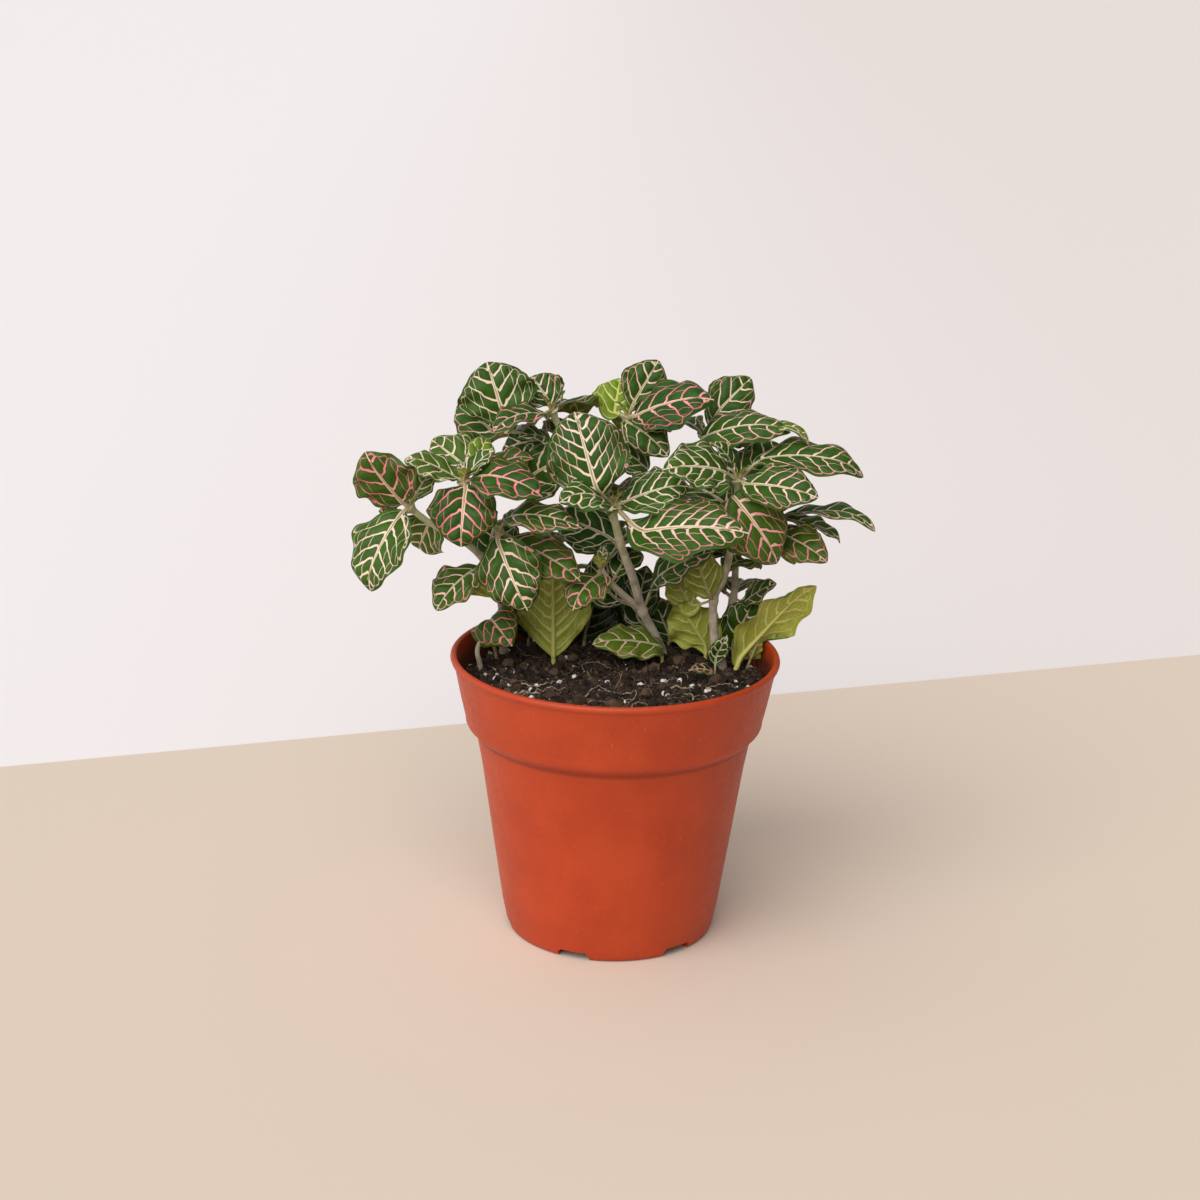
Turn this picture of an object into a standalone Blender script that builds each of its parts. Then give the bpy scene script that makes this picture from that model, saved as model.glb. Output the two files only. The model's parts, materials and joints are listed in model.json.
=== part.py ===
"""A nerve plant in a plastic nursery pot. Metres, +Z up, the pot's foot on z = 0 and its axis on Z."""

import math

import bmesh
import bpy
from mathutils import Matrix, Vector

MM = 0.001
OBJECT_NAME = "potted_nerve_plant"
GAP = 0.3 * MM

# The pot. Profiles run from the axis or the lip as (radius, height) in millimetres.
POT_STEPS = 48
POT_OUTSIDE = (
    (59.6, 106.0), (60.2, 105.2), (60.1, 103.8), (59.0, 103.0), (58.0, 98.0), (56.4, 90.0),
    (54.6, 82.0), (53.9, 80.2), (52.4, 78.2), (50.9, 76.8), (50.3, 74.5), (48.6, 65.0),
    (44.1, 34.0), (40.4, 10.0), (39.2, 4.0), (38.6, 1.4), (37.6, 0.0),
)
POT_INSIDE = (
    (36.6, 1.4), (37.8, 3.6), (42.8, 34.0), (47.3, 65.0), (49.2, 76.0), (51.0, 79.0),
    (52.6, 81.6), (55.1, 90.0), (56.8, 98.0), (58.3, 105.6),
)
NOTCH_COUNT = 6
NOTCH_FIRST_ANGLE = math.radians(-110)
NOTCH_WIDTH = 12 * MM
NOTCH_TOP = 3 * MM
NOTCH_INNER = 32 * MM
NOTCH_OUTER = 42 * MM

# The compost fills the pot to 10 mm below the lip.
SOIL_SIDE = ((36.0, 1.8), (37.0, 4.0), (42.3, 34.0), (46.8, 65.0), (48.7, 76.4), (50.4, 79.4), (52.0, 82.0))
SOIL_EDGE = (55.6, 94.0)
SOIL_RINGS = (50.0, 42.0, 34.0, 26.0, 18.0, 10.0, 4.0)
SOIL_TOP = 95.0 * MM
SOIL_LUMP = 0.8 * MM
SOCKET_FLOOR = 81.0 * MM
SOIL_STAND_OFF = 0.9 * MM

# Stalks as (points, radius at the root, radius at the crown), in millimetres.
STALKS = {
    "left": (((-42, 28, 82), (-42, 28, 95), (-43, 20, 119), (-48, 10, 136), (-56, 4, 146), (-68, 0, 154),
              (-75, -2, 160)), 1.7, 1.1),
    "left_crown": (((-56, 4, 146), (-56, 4, 155), (-56, 4, 168)), 1.1, 0.9),
    "left_inner": (((-46, 14, 129), (-45, 6, 142), (-43, 3, 151)), 1.1, 0.9),
    "front": (((18, 30, 82), (18, 30, 95), (15, 27, 104), (10, 22, 115), (6, 15, 130), (2, 10, 142),
               (-1, 8, 153), (-2, 6, 160)), 2.0, 1.3),
    "front_side": (((10, 22, 115), (3, 18, 122), (-2, 14, 128), (-6, 11, 134)), 1.4, 1.1),
    "back": (((-4, 42, 82), (-4, 42, 100), (-6, 38, 122), (-7, 36, 135), (-8, 34, 147), (-16, 30, 169),
              (-25, 26, 190)), 2.1, 1.2),
    "back_left": (((-16, 30, 169), (-29, 26, 177), (-41, 22, 184)), 1.2, 1.0),
    "back_right": (((-8, 34, 147), (-3, 38, 165), (3, 40, 185)), 1.3, 1.0),
    "right": (((40, 16, 82), (40, 16, 96), (37, 16, 106), (36, 15, 122), (39, 14, 130), (41, 13, 139),
               (43, 12, 156), (43, 12, 169)), 1.9, 1.1),
    "far_right": (((38, 32, 82), (38, 32, 96), (44, 30, 118), (45, 30, 134), (51, 26, 143),
                   (58, 24, 151)), 1.7, 1.1),
    "rear": (((27, 42, 82), (27, 42, 98), (30, 42, 130), (31, 40, 154), (32, 36, 179)), 1.8, 1.1),
}
STEMS = {
    "stem_left": ("left", "left_crown", "left_inner"),
    "stem_front": ("front", "front_side"),
    "stem_back": ("back", "back_left", "back_right"),
    "stem_right": ("right",),
    "stem_far_right": ("far_right",),
    "stem_rear": ("rear",),
}

# Leaves as (stalk, point on it, blade base, tip, width, way the upper side faces, rise near the base,
# rise near the tip, fold in degrees), in millimetres. A leaf with no stalk comes up out of the compost.
LEAVES = {
    "leaf_left_up": ("left", 6, (-78, -4, 164), (-89, -12, 182), 18, (-2, -5, 1), 1, 2, 12),
    "leaf_left_down": ("left", 6, (-78, -5, 158), (-90, -18, 133), 20, (-3, -5, 2), 4, 4, 14),
    "leaf_left_behind": ("left", 6, (-75, 3, 161), (-84, 20, 155), 15, (-1, -1, 4), 2, 2, 10),
    "leaf_left_cream": ("left_crown", 2, (-61, 4, 170), (-76, 2, 178), 12, (-1, -2, 5), 1, 2, 14),
    "leaf_left_shaded": ("left_crown", 2, (-56, 11, 171), (-68, 23, 175), 16, (-1, -3, 4), 1, 1, 10),
    "leaf_left_arched": ("left_crown", 2, (-51, 1, 171), (-27, -14, 169), 17, (0, -2, 3), 5, 4, 12),
    "leaf_left_facing": ("left_crown", 2, (-55, -1, 167), (-56, -14, 149), 21, (0, -5, 3), 4, 3, 12),
    "leaf_left_low": ("left", 3, (-52, 5, 135), (-65, -10, 124), 15, (-2, -4, 4), 3, 3, 12),
    "leaf_inner_right": ("left_inner", 2, (-33, 6, 144), (-13, -7, 136), 15, (0, -3, 3), 2, 2, 12),
    "leaf_inner_down": ("left_inner", 2, (-43, -1, 147), (-32, -12, 125), 20, (-1, -5, 2), 3, 3, 12),
    "leaf_inner_top": ("left_inner", 2, (-39, -1, 157), (-13, -14, 158), 14, (0, -2, 4), 4, 2, 12),
    "leaf_rim_left": (None, (-44, 22), (-46, 17, 104), (-41, 6, 108), 12, (0, -4, 3), 1, 1, 12),
    "leaf_centre": ("front", 7, (-9, -2, 171), (-17, 8, 196), 25, (0, -5, 1), 1, 3, 10),
    "leaf_front_long": ("front", 7, (7, -4, 156), (46, -18, 158), 22, (0, -3, 3), 4, 4, 12),
    "leaf_front_upper": ("front", 7, (3, 5, 164), (24, 2, 173), 16, (0, -3, 4), 2, 2, 12),
    "leaf_front_left": ("front", 7, (-8, 1, 158), (-21, -15, 165), 12, (0, -1, 4), 5, 4, 12),
    "leaf_front_narrow": ("front", 3, (15, 14, 131), (28, -2, 146), 10, (1, -3, 3), 1, 1, 14),
    "leaf_middle_low": ("front_side", 3, (-7, 7, 133), (-16, -10, 126), 15, (-1, -3, 4), 3, 3, 12),
    "leaf_top_left_curled": ("back", 6, (-26, 27, 195), (-33, 32, 203), 15, (0, -4, 2), 1, 1, 10),
    "leaf_top_left_front": ("back", 6, (-30, 17, 191), (-46, 3, 188), 14, (-1, -2, 4), 3, 3, 12),
    "leaf_middle_back": ("back_left", 1, (-28, 19, 172), (-14, 16, 177), 13, (0, -4, 2), 1, 1, 12),
    "leaf_top_left": ("back_left", 2, (-42, 22, 188), (-47, 27, 205), 22, (0, -5, 2), 1, 2, 10),
    "leaf_top_left_behind": ("back_left", 2, (-47, 26, 182), (-60, 35, 190), 16, (0, -3, 3), 1, 1, 10),
    "leaf_top_drooping": ("back_right", 2, (2, 35, 180), (15, 23, 175), 12, (1, -3, 2), 2, 2, 12),
    "leaf_top_back": ("back_right", 2, (-2, 43, 187), (0, 51, 198), 15, (0, -3, 1), 1, 1, 10),
    "leaf_top_middle": ("back_right", 2, (6, 42, 192), (14, 44, 206), 15, (0, -5, 1), 1, 1, 10),
    "leaf_top_right": ("back_right", 2, (9, 34, 187), (32, 22, 198), 16, (0, -2, 4), 2, 2, 12),
    "leaf_right_left": ("right", 7, (39, 9, 173), (17, -5, 181), 17, (0, -3, 3), 3, 2, 12),
    "leaf_right_front": ("right", 7, (47, 6, 169), (71, -6, 168), 16, (0, -3, 3), 3, 3, 12),
    "leaf_right_under": ("right", 6, (46, 6, 160), (60, 0, 142), 20, (1, -4, 2), 3, 3, 10),
    "leaf_right_small": ("right", 7, (44, 18, 170), (57, 28, 175), 11, (0, -2, 3), 1, 1, 12),
    "leaf_right_far": ("right", 7, (54, 14, 177), (90, 10, 173), 15, (0, -2, 4), 5, 6, 12),
    "leaf_right_turned": ("right", 3, (34, 11, 126), (27, 4, 145), 13, (0, 4, -1), 1, 1, 10),
    "leaf_far_long": ("far_right", 5, (63, 22, 153), (94, 6, 155), 13, (0, -2, 4), 4, 8, 14),
    "leaf_far_front": ("far_right", 5, (60, 18, 147), (76, 2, 142), 14, (0, -3, 3), 3, 2, 12),
    "leaf_far_inner": ("far_right", 2, (49, 26, 119), (59, 19, 128), 10, (0, -2, 3), 1, 1, 12),
    "leaf_rear_up": ("rear", 4, (38, 39, 190), (49, 46, 200), 15, (0, -4, 2), 1, 1, 10),
    "leaf_rear_long": ("rear", 4, (36, 29, 182), (63, 14, 189), 13, (0, -2, 4), 3, 1, 12),
    "leaf_rear_flat": ("rear", 4, (40, 37, 178), (55, 38, 184), 12, (0, -2, 4), 1, 1, 12),
    "leaf_low_upright": (None, (-23, 20), (-23, 20, 101), (-23, 23, 128), 23, (0, 5, 1), 0, 1, 10),
    "leaf_low_middle": (None, (18, 22), (16, 21, 102), (-8, 10, 107), 14, (0, -2, 3), 2, 2, 10),
    "leaf_low_right": (None, (34, 22), (33, 22, 104), (21, 19, 119), 15, (0, 4, 1), 0, 1, 10),
    "leaf_low_wavy": (None, (44, 9), (47, 10, 104), (72, 18, 128), 15, (-2, 3, 1), 1, 2, 12),
    "leaf_low_back": (None, (20, 38), (20, 38, 102), (14, 42, 115), 12, (0, -4, 1), 0, 1, 10),
    "leaf_behind_top": ("back", 6, (-22, 32, 191), (-15, 56, 184), 19, (0, 2, 4), 3, 3, 12),
    "leaf_behind_left": ("back_left", 2, (-41, 30, 181), (-52, 53, 172), 18, (-1, 2, 4), 3, 3, 12),
    "leaf_behind_middle": ("back_right", 2, (4, 46, 184), (12, 68, 172), 20, (0, 2, 4), 3, 3, 12),
    "leaf_behind_right": ("rear", 4, (33, 43, 178), (54, 61, 170), 18, (1, 2, 4), 3, 3, 12),
    "leaf_behind_low_right": ("rear", 3, (33, 46, 154), (44, 68, 146), 18, (1, 2, 4), 3, 3, 12),
    "leaf_behind_low_left": ("back", 3, (-12, 42, 136), (-28, 62, 130), 18, (-1, 2, 4), 3, 3, 12),
}
BLADE_ROWS = 6
PETIOLE_ROWS = 2
LEAF_COLUMNS = 4
BLADE_THICKNESS = 0.5 * MM
PETIOLE_THICKNESS = 1.2 * MM
PETIOLE_HALF_WIDTH = 0.65 * MM
WIDEST_AT = 0.8

# Colours as linear RGB.
MATERIALS = {
    "terracotta_plastic": ((0.52, 0.080, 0.028), 0.45),
    "compost": ((0.020, 0.012, 0.008), 0.95),
    "stem_skin": ((0.19, 0.17, 0.12), 0.7),
    "leaf_green": ((0.060, 0.130, 0.030), 0.5),
    "leaf_olive": ((0.20, 0.23, 0.045), 0.55),
}
OLIVE_LEAVES = ("leaf_low_upright", "leaf_low_middle", "leaf_low_right", "leaf_low_wavy", "leaf_right_turned")


def clear_scene():
    for obj in list(bpy.data.objects):
        bpy.data.objects.remove(obj)


def make_collection(name, hidden=False):
    collection = bpy.data.collections.new(name)
    collection.hide_render = hidden
    bpy.context.scene.collection.children.link(collection)
    return collection


def make_material(name):
    colour, roughness = MATERIALS[name]
    material = bpy.data.materials.new(name)
    material.use_nodes = True
    shader = material.node_tree.nodes["Principled BSDF"]
    shader.inputs["Base Color"].default_value = (*colour, 1.0)
    shader.inputs["Roughness"].default_value = roughness
    shader.inputs["Metallic"].default_value = 0.0
    return material


def millimetres(values):
    return Vector(values) * MM


def add_object(name, mesh, material, collection):
    obj = bpy.data.objects.new(name, mesh)
    obj.data.materials.append(material)
    collection.objects.link(obj)
    return obj


def smooth(obj):
    for polygon in obj.data.polygons:
        polygon.use_smooth = True
    obj.data.set_sharp_from_angle(angle=math.radians(40))


def solid_mesh(obj):
    """The object's evaluated mesh, welded. The object itself goes."""
    graph = bpy.context.evaluated_depsgraph_get()
    mesh = bpy.data.meshes.new_from_object(obj.evaluated_get(graph))
    work = bmesh.new()
    work.from_mesh(mesh)
    bmesh.ops.remove_doubles(work, verts=work.verts, dist=0.001 * MM)
    bmesh.ops.recalc_face_normals(work, faces=work.faces)
    work.to_mesh(mesh)
    work.free()
    bpy.data.objects.remove(obj)
    return mesh


def turned(name, profile, material, collection):
    """A (radius, height) profile turned round Z."""
    mesh = bpy.data.meshes.new(name)
    points = [(radius * MM, 0, height * MM) for radius, height in profile]
    mesh.from_pydata(points, [(i, i + 1) for i in range(len(points) - 1)], [])
    obj = add_object(name, mesh, material, collection)
    screw = obj.modifiers.new("turn", "SCREW")
    screw.steps = POT_STEPS
    screw.render_steps = POT_STEPS
    screw.use_merge_vertices = True
    screw.merge_threshold = 0.00001
    return obj


def cut(obj, cutter):
    boolean = obj.modifiers.new(cutter.name, "BOOLEAN")
    boolean.operation = "DIFFERENCE"
    boolean.solver = "EXACT"
    boolean.object = cutter


def build_pot(material, parts, cutters):
    profile = (*POT_OUTSIDE, (0.0, 0.0), (0.0, 1.4), *POT_INSIDE, POT_OUTSIDE[0])
    turning = turned("pot_turning", profile, material, cutters)
    pot = add_object("pot", solid_mesh(turning), material, parts)
    middle = (NOTCH_INNER + NOTCH_OUTER) / 2
    for index in range(NOTCH_COUNT):
        angle = NOTCH_FIRST_ANGLE + index * math.tau / NOTCH_COUNT
        work = bmesh.new()
        bmesh.ops.create_cube(work, size=1)
        bmesh.ops.scale(work, vec=(NOTCH_OUTER - NOTCH_INNER, NOTCH_WIDTH, 2 * NOTCH_TOP), verts=work.verts)
        place = Matrix.Rotation(angle, 4, "Z") @ Matrix.Translation((middle, 0, 0))
        bmesh.ops.transform(work, matrix=place, verts=work.verts)
        mesh = bpy.data.meshes.new(f"notch_{index}")
        work.to_mesh(mesh)
        work.free()
        cutter = add_object(f"notch_{index}", mesh, material, cutters)
        cutter.display_type = "WIRE"
        cut(pot, cutter)
    smooth(pot)


def soil_height(x, y):
    """The lumpy top of the compost at a place, in metres."""
    u, v = x / MM, y / MM
    wave = math.sin(0.31 * u + 0.9) * math.cos(0.27 * v - 0.4)
    wave += 0.6 * math.sin(0.17 * u - 0.33 * v + 2.1)
    return SOIL_TOP + SOIL_LUMP * wave


def build_soil(material, parts, cutters):
    rings = [(radius, SOIL_TOP / MM) for radius in SOIL_RINGS]
    profile = ((0.0, 1.8), *SOIL_SIDE, SOIL_EDGE, *rings, (0.0, SOIL_TOP / MM))
    turning = turned("soil_turning", profile[::-1], material, cutters)
    soil = add_object("soil", solid_mesh(turning), material, parts)
    for vertex in soil.data.vertices:
        if vertex.co.z > SOIL_TOP - 0.5 * MM:
            vertex.co.z = soil_height(vertex.co.x, vertex.co.y)
    for name, (points, root_radius, _) in STALKS.items():
        if points[0][2] * MM > SOIL_TOP:
            continue
        work = bmesh.new()
        radius = root_radius * MM + GAP
        bottom, top = SOCKET_FLOOR, SOIL_TOP + 5 * MM
        bmesh.ops.create_cone(
            work, cap_ends=True, segments=12, radius1=radius, radius2=radius, depth=top - bottom,
        )
        x, y, _ = millimetres(points[0])
        bmesh.ops.translate(work, vec=(x, y, (top + bottom) / 2), verts=work.verts)
        mesh = bpy.data.meshes.new(f"socket_{name}")
        work.to_mesh(mesh)
        work.free()
        cutter = add_object(f"socket_{name}", mesh, material, cutters)
        cutter.display_type = "WIRE"
        cut(soil, cutter)
    smooth(soil)


def stalk_curve(name, material, collection):
    points, root_radius, crown_radius = STALKS[name]
    curve = bpy.data.curves.new(name, "CURVE")
    curve.dimensions = "3D"
    curve.bevel_depth = MM
    curve.bevel_resolution = 2
    curve.use_fill_caps = True
    spline = curve.splines.new("POLY")
    spline.points.add(len(points) - 1)
    for index, point in enumerate(points):
        share = index / (len(points) - 1)
        spline.points[index].co = (*millimetres(point), 1.0)
        spline.points[index].radius = root_radius + share * (crown_radius - root_radius)
    return add_object(f"stalk_{name}", curve, material, collection)


def build_stem(name, material, parts, cutters):
    """A main stalk with its branches joined on."""
    main, *branches = STEMS[name]
    stem = add_object(name, solid_mesh(stalk_curve(main, material, cutters)), material, parts)
    for branch in branches:
        mesh = solid_mesh(stalk_curve(branch, material, cutters))
        limb = add_object(f"limb_{branch}", mesh, material, cutters)
        limb.display_type = "WIRE"
        union = stem.modifiers.new(branch, "BOOLEAN")
        union.operation = "UNION"
        union.solver = "EXACT"
        union.object = limb
    smooth(stem)


def stalk_clearance(point):
    """How far a point lies outside the nearest stalk, in metres."""
    nearest = math.inf
    for points, root_radius, crown_radius in STALKS.values():
        pieces = len(points) - 1
        for index in range(pieces):
            start = millimetres(points[index])
            end = millimetres(points[index + 1])
            reach = (point - start).dot(end - start) / (end - start).length_squared
            along = max(0.0, min(1.0, reach))
            radius = (root_radius + (index + along) / pieces * (crown_radius - root_radius)) * MM
            gap = (point - start.lerp(end, along)).length - radius
            if index == pieces - 1 and reach > 1.0:
                beside = (point - start.lerp(end, reach)).length - radius
                gap = math.hypot(max(beside, 0.0), (reach - 1.0) * (end - start).length)
            nearest = min(nearest, gap)
    return nearest


def petiole_start(stalk, place, base, face):
    """Where the petiole's end face clears its stalk, or the compost, by the gap."""
    if stalk is None:
        x, y = place[0] * MM, place[1] * MM
        return Vector((x, y, soil_height(x, y) + SOIL_STAND_OFF))
    node = millimetres(STALKS[stalk][0][place])
    way = (base - node).normalized()
    side = face.cross(way).normalized() * PETIOLE_HALF_WIDTH
    up = way.cross(side).normalized() * PETIOLE_THICKNESS / 2
    start = node.copy()
    corners = (side + up, side - up, -side + up, -side - up, Vector())
    while min(stalk_clearance(start + corner) for corner in corners) < 1.1 * GAP:
        start += way * 0.05 * MM
    return start


def bezier(points, t):
    a, b, c, d = points
    s = 1 - t
    return a * s ** 3 + b * 3 * s * s * t + c * 3 * s * t * t + d * t ** 3


def half_width(width, t):
    """A pointed oval, widest a little before the middle."""
    return 0.5 * width * math.sin(math.pi * t ** WIDEST_AT) ** 0.85


def leaf_rows(row):
    """Each row across the leaf: its middle, sideways way, upper way, half width, whether it is petiole."""
    stalk, place, base, tip, width, face, rise_base, rise_tip, _ = row
    base, tip = millimetres(base), millimetres(tip)
    face = Vector(face).normalized()
    chord = tip - base
    up = (face - face.project(chord)).normalized()
    blade = (
        base,
        base + chord * 0.33 + up * rise_base * MM,
        base + chord * 0.70 + up * rise_tip * MM,
        tip,
    )
    start = petiole_start(stalk, place, base, face)
    lead = (blade[1] - base).normalized() * (base - start).length * 0.3
    petiole = (start, start.lerp(base, 0.33), base - lead, base)
    rows = []
    for index in range(PETIOLE_ROWS + BLADE_ROWS + 1):
        in_blade = index >= PETIOLE_ROWS
        t = (index - PETIOLE_ROWS) / BLADE_ROWS if in_blade else index / PETIOLE_ROWS
        line = blade if in_blade else petiole
        middle = bezier(line, t)
        ahead = bezier(line, min(t + 0.01, 1.0)) - bezier(line, max(t - 0.01, 0.0))
        side = ahead.cross(up).normalized()
        above = side.cross(ahead).normalized()
        half = PETIOLE_HALF_WIDTH
        if in_blade:
            half = max(half_width(width * MM, t), PETIOLE_HALF_WIDTH * (1 - 0.5 * t))
        rows.append((middle, side, above, half, not in_blade))
    return rows


def build_leaf(name, material, parts):
    row = LEAVES[name]
    fold = math.radians(row[-1])
    rows = leaf_rows(row)
    mesh = bpy.data.meshes.new(name)
    work = bmesh.new()
    grid = bmesh.ops.create_grid(work, x_segments=LEAF_COLUMNS, y_segments=len(rows) - 1, size=1)
    work.verts.ensure_lookup_table()
    petiole_verts = []
    for index, vertex in enumerate(grid["verts"]):
        line, column = divmod(index, LEAF_COLUMNS + 1)
        middle, side, above, half, is_petiole = rows[line]
        across = 2 * column / LEAF_COLUMNS - 1
        lift = 0.0 if is_petiole else math.sin(fold) * abs(across) * half
        vertex.co = middle + side * across * half + above * lift
        if is_petiole:
            petiole_verts.append(index)
    work.to_mesh(mesh)
    work.free()
    leaf = add_object(name, mesh, material, parts)
    group = leaf.vertex_groups.new(name="petiole")
    group.add(petiole_verts, 1.0, "REPLACE")
    solidify = leaf.modifiers.new("thickness", "SOLIDIFY")
    solidify.thickness = PETIOLE_THICKNESS
    solidify.offset = 0
    solidify.use_even_offset = False
    solidify.vertex_group = group.name
    solidify.thickness_vertex_group = BLADE_THICKNESS / PETIOLE_THICKNESS
    smooth(leaf)


def main():
    clear_scene()
    parts = make_collection(OBJECT_NAME)
    cutters = make_collection("cutters", hidden=True)
    materials = {name: make_material(name) for name in MATERIALS}
    build_pot(materials["terracotta_plastic"], parts, cutters)
    build_soil(materials["compost"], parts, cutters)
    for name in STEMS:
        build_stem(name, materials["stem_skin"], parts, cutters)
    for name in LEAVES:
        slot = "leaf_olive" if name in OLIVE_LEAVES else "leaf_green"
        build_leaf(name, materials[slot], parts)


main()
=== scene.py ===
"""The looks of a potted nerve plant: pot, compost, fuzzy stems and net-veined leaves."""

import json
import math

import bmesh
import bpy
import numpy as np
from mathutils import Matrix, Vector, noise
from mathutils.kdtree import KDTree


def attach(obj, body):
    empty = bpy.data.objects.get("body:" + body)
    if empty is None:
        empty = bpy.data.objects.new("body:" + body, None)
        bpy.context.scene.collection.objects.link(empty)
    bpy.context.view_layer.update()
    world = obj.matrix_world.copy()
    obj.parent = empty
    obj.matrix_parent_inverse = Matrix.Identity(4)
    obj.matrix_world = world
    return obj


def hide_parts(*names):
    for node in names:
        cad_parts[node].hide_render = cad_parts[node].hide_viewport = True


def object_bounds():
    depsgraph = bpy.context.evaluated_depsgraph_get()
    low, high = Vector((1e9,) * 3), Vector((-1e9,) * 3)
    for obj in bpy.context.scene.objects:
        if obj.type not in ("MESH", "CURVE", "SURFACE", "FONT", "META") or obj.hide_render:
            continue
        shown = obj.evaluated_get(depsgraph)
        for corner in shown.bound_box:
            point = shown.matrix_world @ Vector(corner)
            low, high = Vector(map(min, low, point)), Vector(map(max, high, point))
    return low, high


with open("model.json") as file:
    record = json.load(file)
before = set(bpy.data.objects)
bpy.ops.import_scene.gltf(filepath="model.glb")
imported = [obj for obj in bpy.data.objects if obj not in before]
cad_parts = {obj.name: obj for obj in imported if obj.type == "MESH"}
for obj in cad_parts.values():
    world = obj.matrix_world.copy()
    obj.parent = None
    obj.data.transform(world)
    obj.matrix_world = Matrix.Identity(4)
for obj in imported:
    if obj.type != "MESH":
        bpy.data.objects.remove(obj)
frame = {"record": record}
CAD_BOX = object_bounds()

MM = 0.001
BODY = "root"
SEED = 7

# The camera: where it stands and looks, in metres, and its roll.
CAMERA_AIM = Vector((-0.006, 0.0, 0.126))
CAMERA_ELEVATION = math.radians(17.5)
CAMERA_DISTANCE = 0.909
CAMERA_ROLL = math.radians(1.17)
CAMERA_LENS = 75.0

# The stage: where the near-white backdrop colour begins behind the pot, and how it slants.
BACKDROP_START = 0.230
BACKDROP_SLANT = 0.333
BACKDROP_BLUR = 0.0008
FLOOR_DROP = 0.1 * MM
FLOOR_SIZE = 12
SKY_STRENGTHS = (0.88, 0.08)
SUN_STRENGTH = 2.5
SUN_SPREAD = math.radians(62)
SUN_FROM = (-0.44, -1.0, 1.06)

# The pot. Profiles run from the lip as (radius, height) in millimetres.
POT_STEPS = 160
POT_OUTSIDE = (
    (58.6, 106.0), (59.3, 105.95), (59.9, 105.7), (60.2, 105.2), (60.3, 104.6), (60.1, 104.0),
    (59.6, 103.5), (59.1, 103.1), (58.9, 102.4), (58.0, 98.0), (57.2, 94.0), (56.4, 90.0), (55.5, 86.0),
    (54.7, 82.4), (54.6, 81.0), (54.2, 80.2), (53.3, 79.3), (52.1, 78.2), (51.0, 77.2), (50.7, 76.7),
    (50.6, 75.4), (50.2, 73.5), (48.6, 65.0), (46.4, 50.0), (44.1, 34.0), (42.0, 20.0), (40.5, 10.0),
    (39.6, 5.6), (39.2, 3.6), (38.9, 2.0), (38.5, 0.9), (38.0, 0.25), (37.4, 0.0),
)
POT_INSIDE = (
    (36.6, 1.4), (37.8, 3.6), (42.8, 34.0), (47.3, 65.0), (49.2, 76.0), (50.0, 77.6), (51.0, 79.0),
    (52.6, 81.6), (55.1, 90.0), (56.8, 98.0), (57.7, 103.4), (57.9, 104.9), (58.1, 105.7),
)
POT_FLOOR = 1.4
# The middle of the collar's wall: its radius at a height, in metres, and how fast it widens upward.
POT_MIDDLE = 0.05575
POT_MIDDLE_HEIGHT = 0.090
POT_FLARE = 0.20
NOTCH_COUNT = 6
NOTCH_FIRST_ANGLE = math.radians(-110)
NOTCH_WIDTH = 12 * MM
NOTCH_TOP = 3 * MM
NOTCH_INNER = 32 * MM
NOTCH_OUTER = 42 * MM

# The compost, and how far out what lies on it may be.
SOIL_TOP = 95.0 * MM
SOIL_RADIUS = 55.6 * MM
SOIL_SIDE = (
    (55.0, 91.0), (52.0, 82.0), (49.4, 78.0), (48.7, 75.0), (46.8, 65.0), (42.3, 34.0), (37.3, 3.4),
    (36.0, 1.8),
)
SOIL_RINGS = 110
SOIL_SECTORS = 260
LUMP_REACH = 55.5 * MM
LUMP_LIMIT = 56.8 * MM
ROOT_REACH = 50
ROOT_LIMIT = 55.5
ROOT_SIDES = 6
STREWN_ROOTS = 44

# Stalks as (points, radius at the root, radius at the crown), in millimetres.
STALKS = {
    "left": (((-42, 28, 82), (-42, 28, 95), (-43, 20, 119), (-48, 10, 136), (-56, 4, 146), (-68, 0, 154),
              (-75, -2, 160)), 1.7, 1.1),
    "left_crown": (((-56, 4, 146), (-56, 4, 155), (-56, 4, 168)), 1.1, 0.9),
    "left_inner": (((-46, 14, 129), (-45, 6, 142), (-43, 3, 151)), 1.1, 0.9),
    "front": (((18, 30, 82), (18, 30, 95), (15, 27, 104), (10, 22, 115), (6, 15, 130), (2, 10, 142),
               (-1, 8, 153), (-2, 6, 160)), 2.0, 1.3),
    "front_side": (((10, 22, 115), (3, 18, 122), (-2, 14, 128), (-6, 11, 134)), 1.4, 1.1),
    "back": (((-4, 42, 82), (-4, 42, 100), (-6, 38, 122), (-7, 36, 135), (-8, 34, 147), (-16, 30, 169),
              (-25, 26, 190)), 2.1, 1.2),
    "back_left": (((-16, 30, 169), (-29, 26, 177), (-41, 22, 184)), 1.2, 1.0),
    "back_right": (((-8, 34, 147), (-3, 38, 165), (3, 40, 185)), 1.3, 1.0),
    "right": (((40, 16, 82), (40, 16, 96), (37, 16, 106), (36, 15, 122), (39, 14, 130), (41, 13, 139),
               (43, 12, 156), (43, 12, 169)), 1.9, 1.1),
    "far_right": (((38, 32, 82), (38, 32, 96), (44, 30, 118), (45, 30, 134), (51, 26, 143),
                   (58, 24, 151)), 1.7, 1.1),
    "rear": (((27, 42, 82), (27, 42, 98), (30, 42, 130), (31, 40, 154), (32, 36, 179)), 1.8, 1.1),
}
DRY_STUB = ((-50, 10, 91), (-50, 9, 97), (-51, 9, 102), (-50, 9, 106), (-48, 10, 108))
STEM_SIDES = 20
STEMS = {
    "stem_left": ("left", "left_crown", "left_inner"),
    "stem_front": ("front", "front_side"),
    "stem_back": ("back", "back_left", "back_right"),
    "stem_right": ("right",),
    "stem_far_right": ("far_right",),
    "stem_rear": ("rear",),
}

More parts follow.
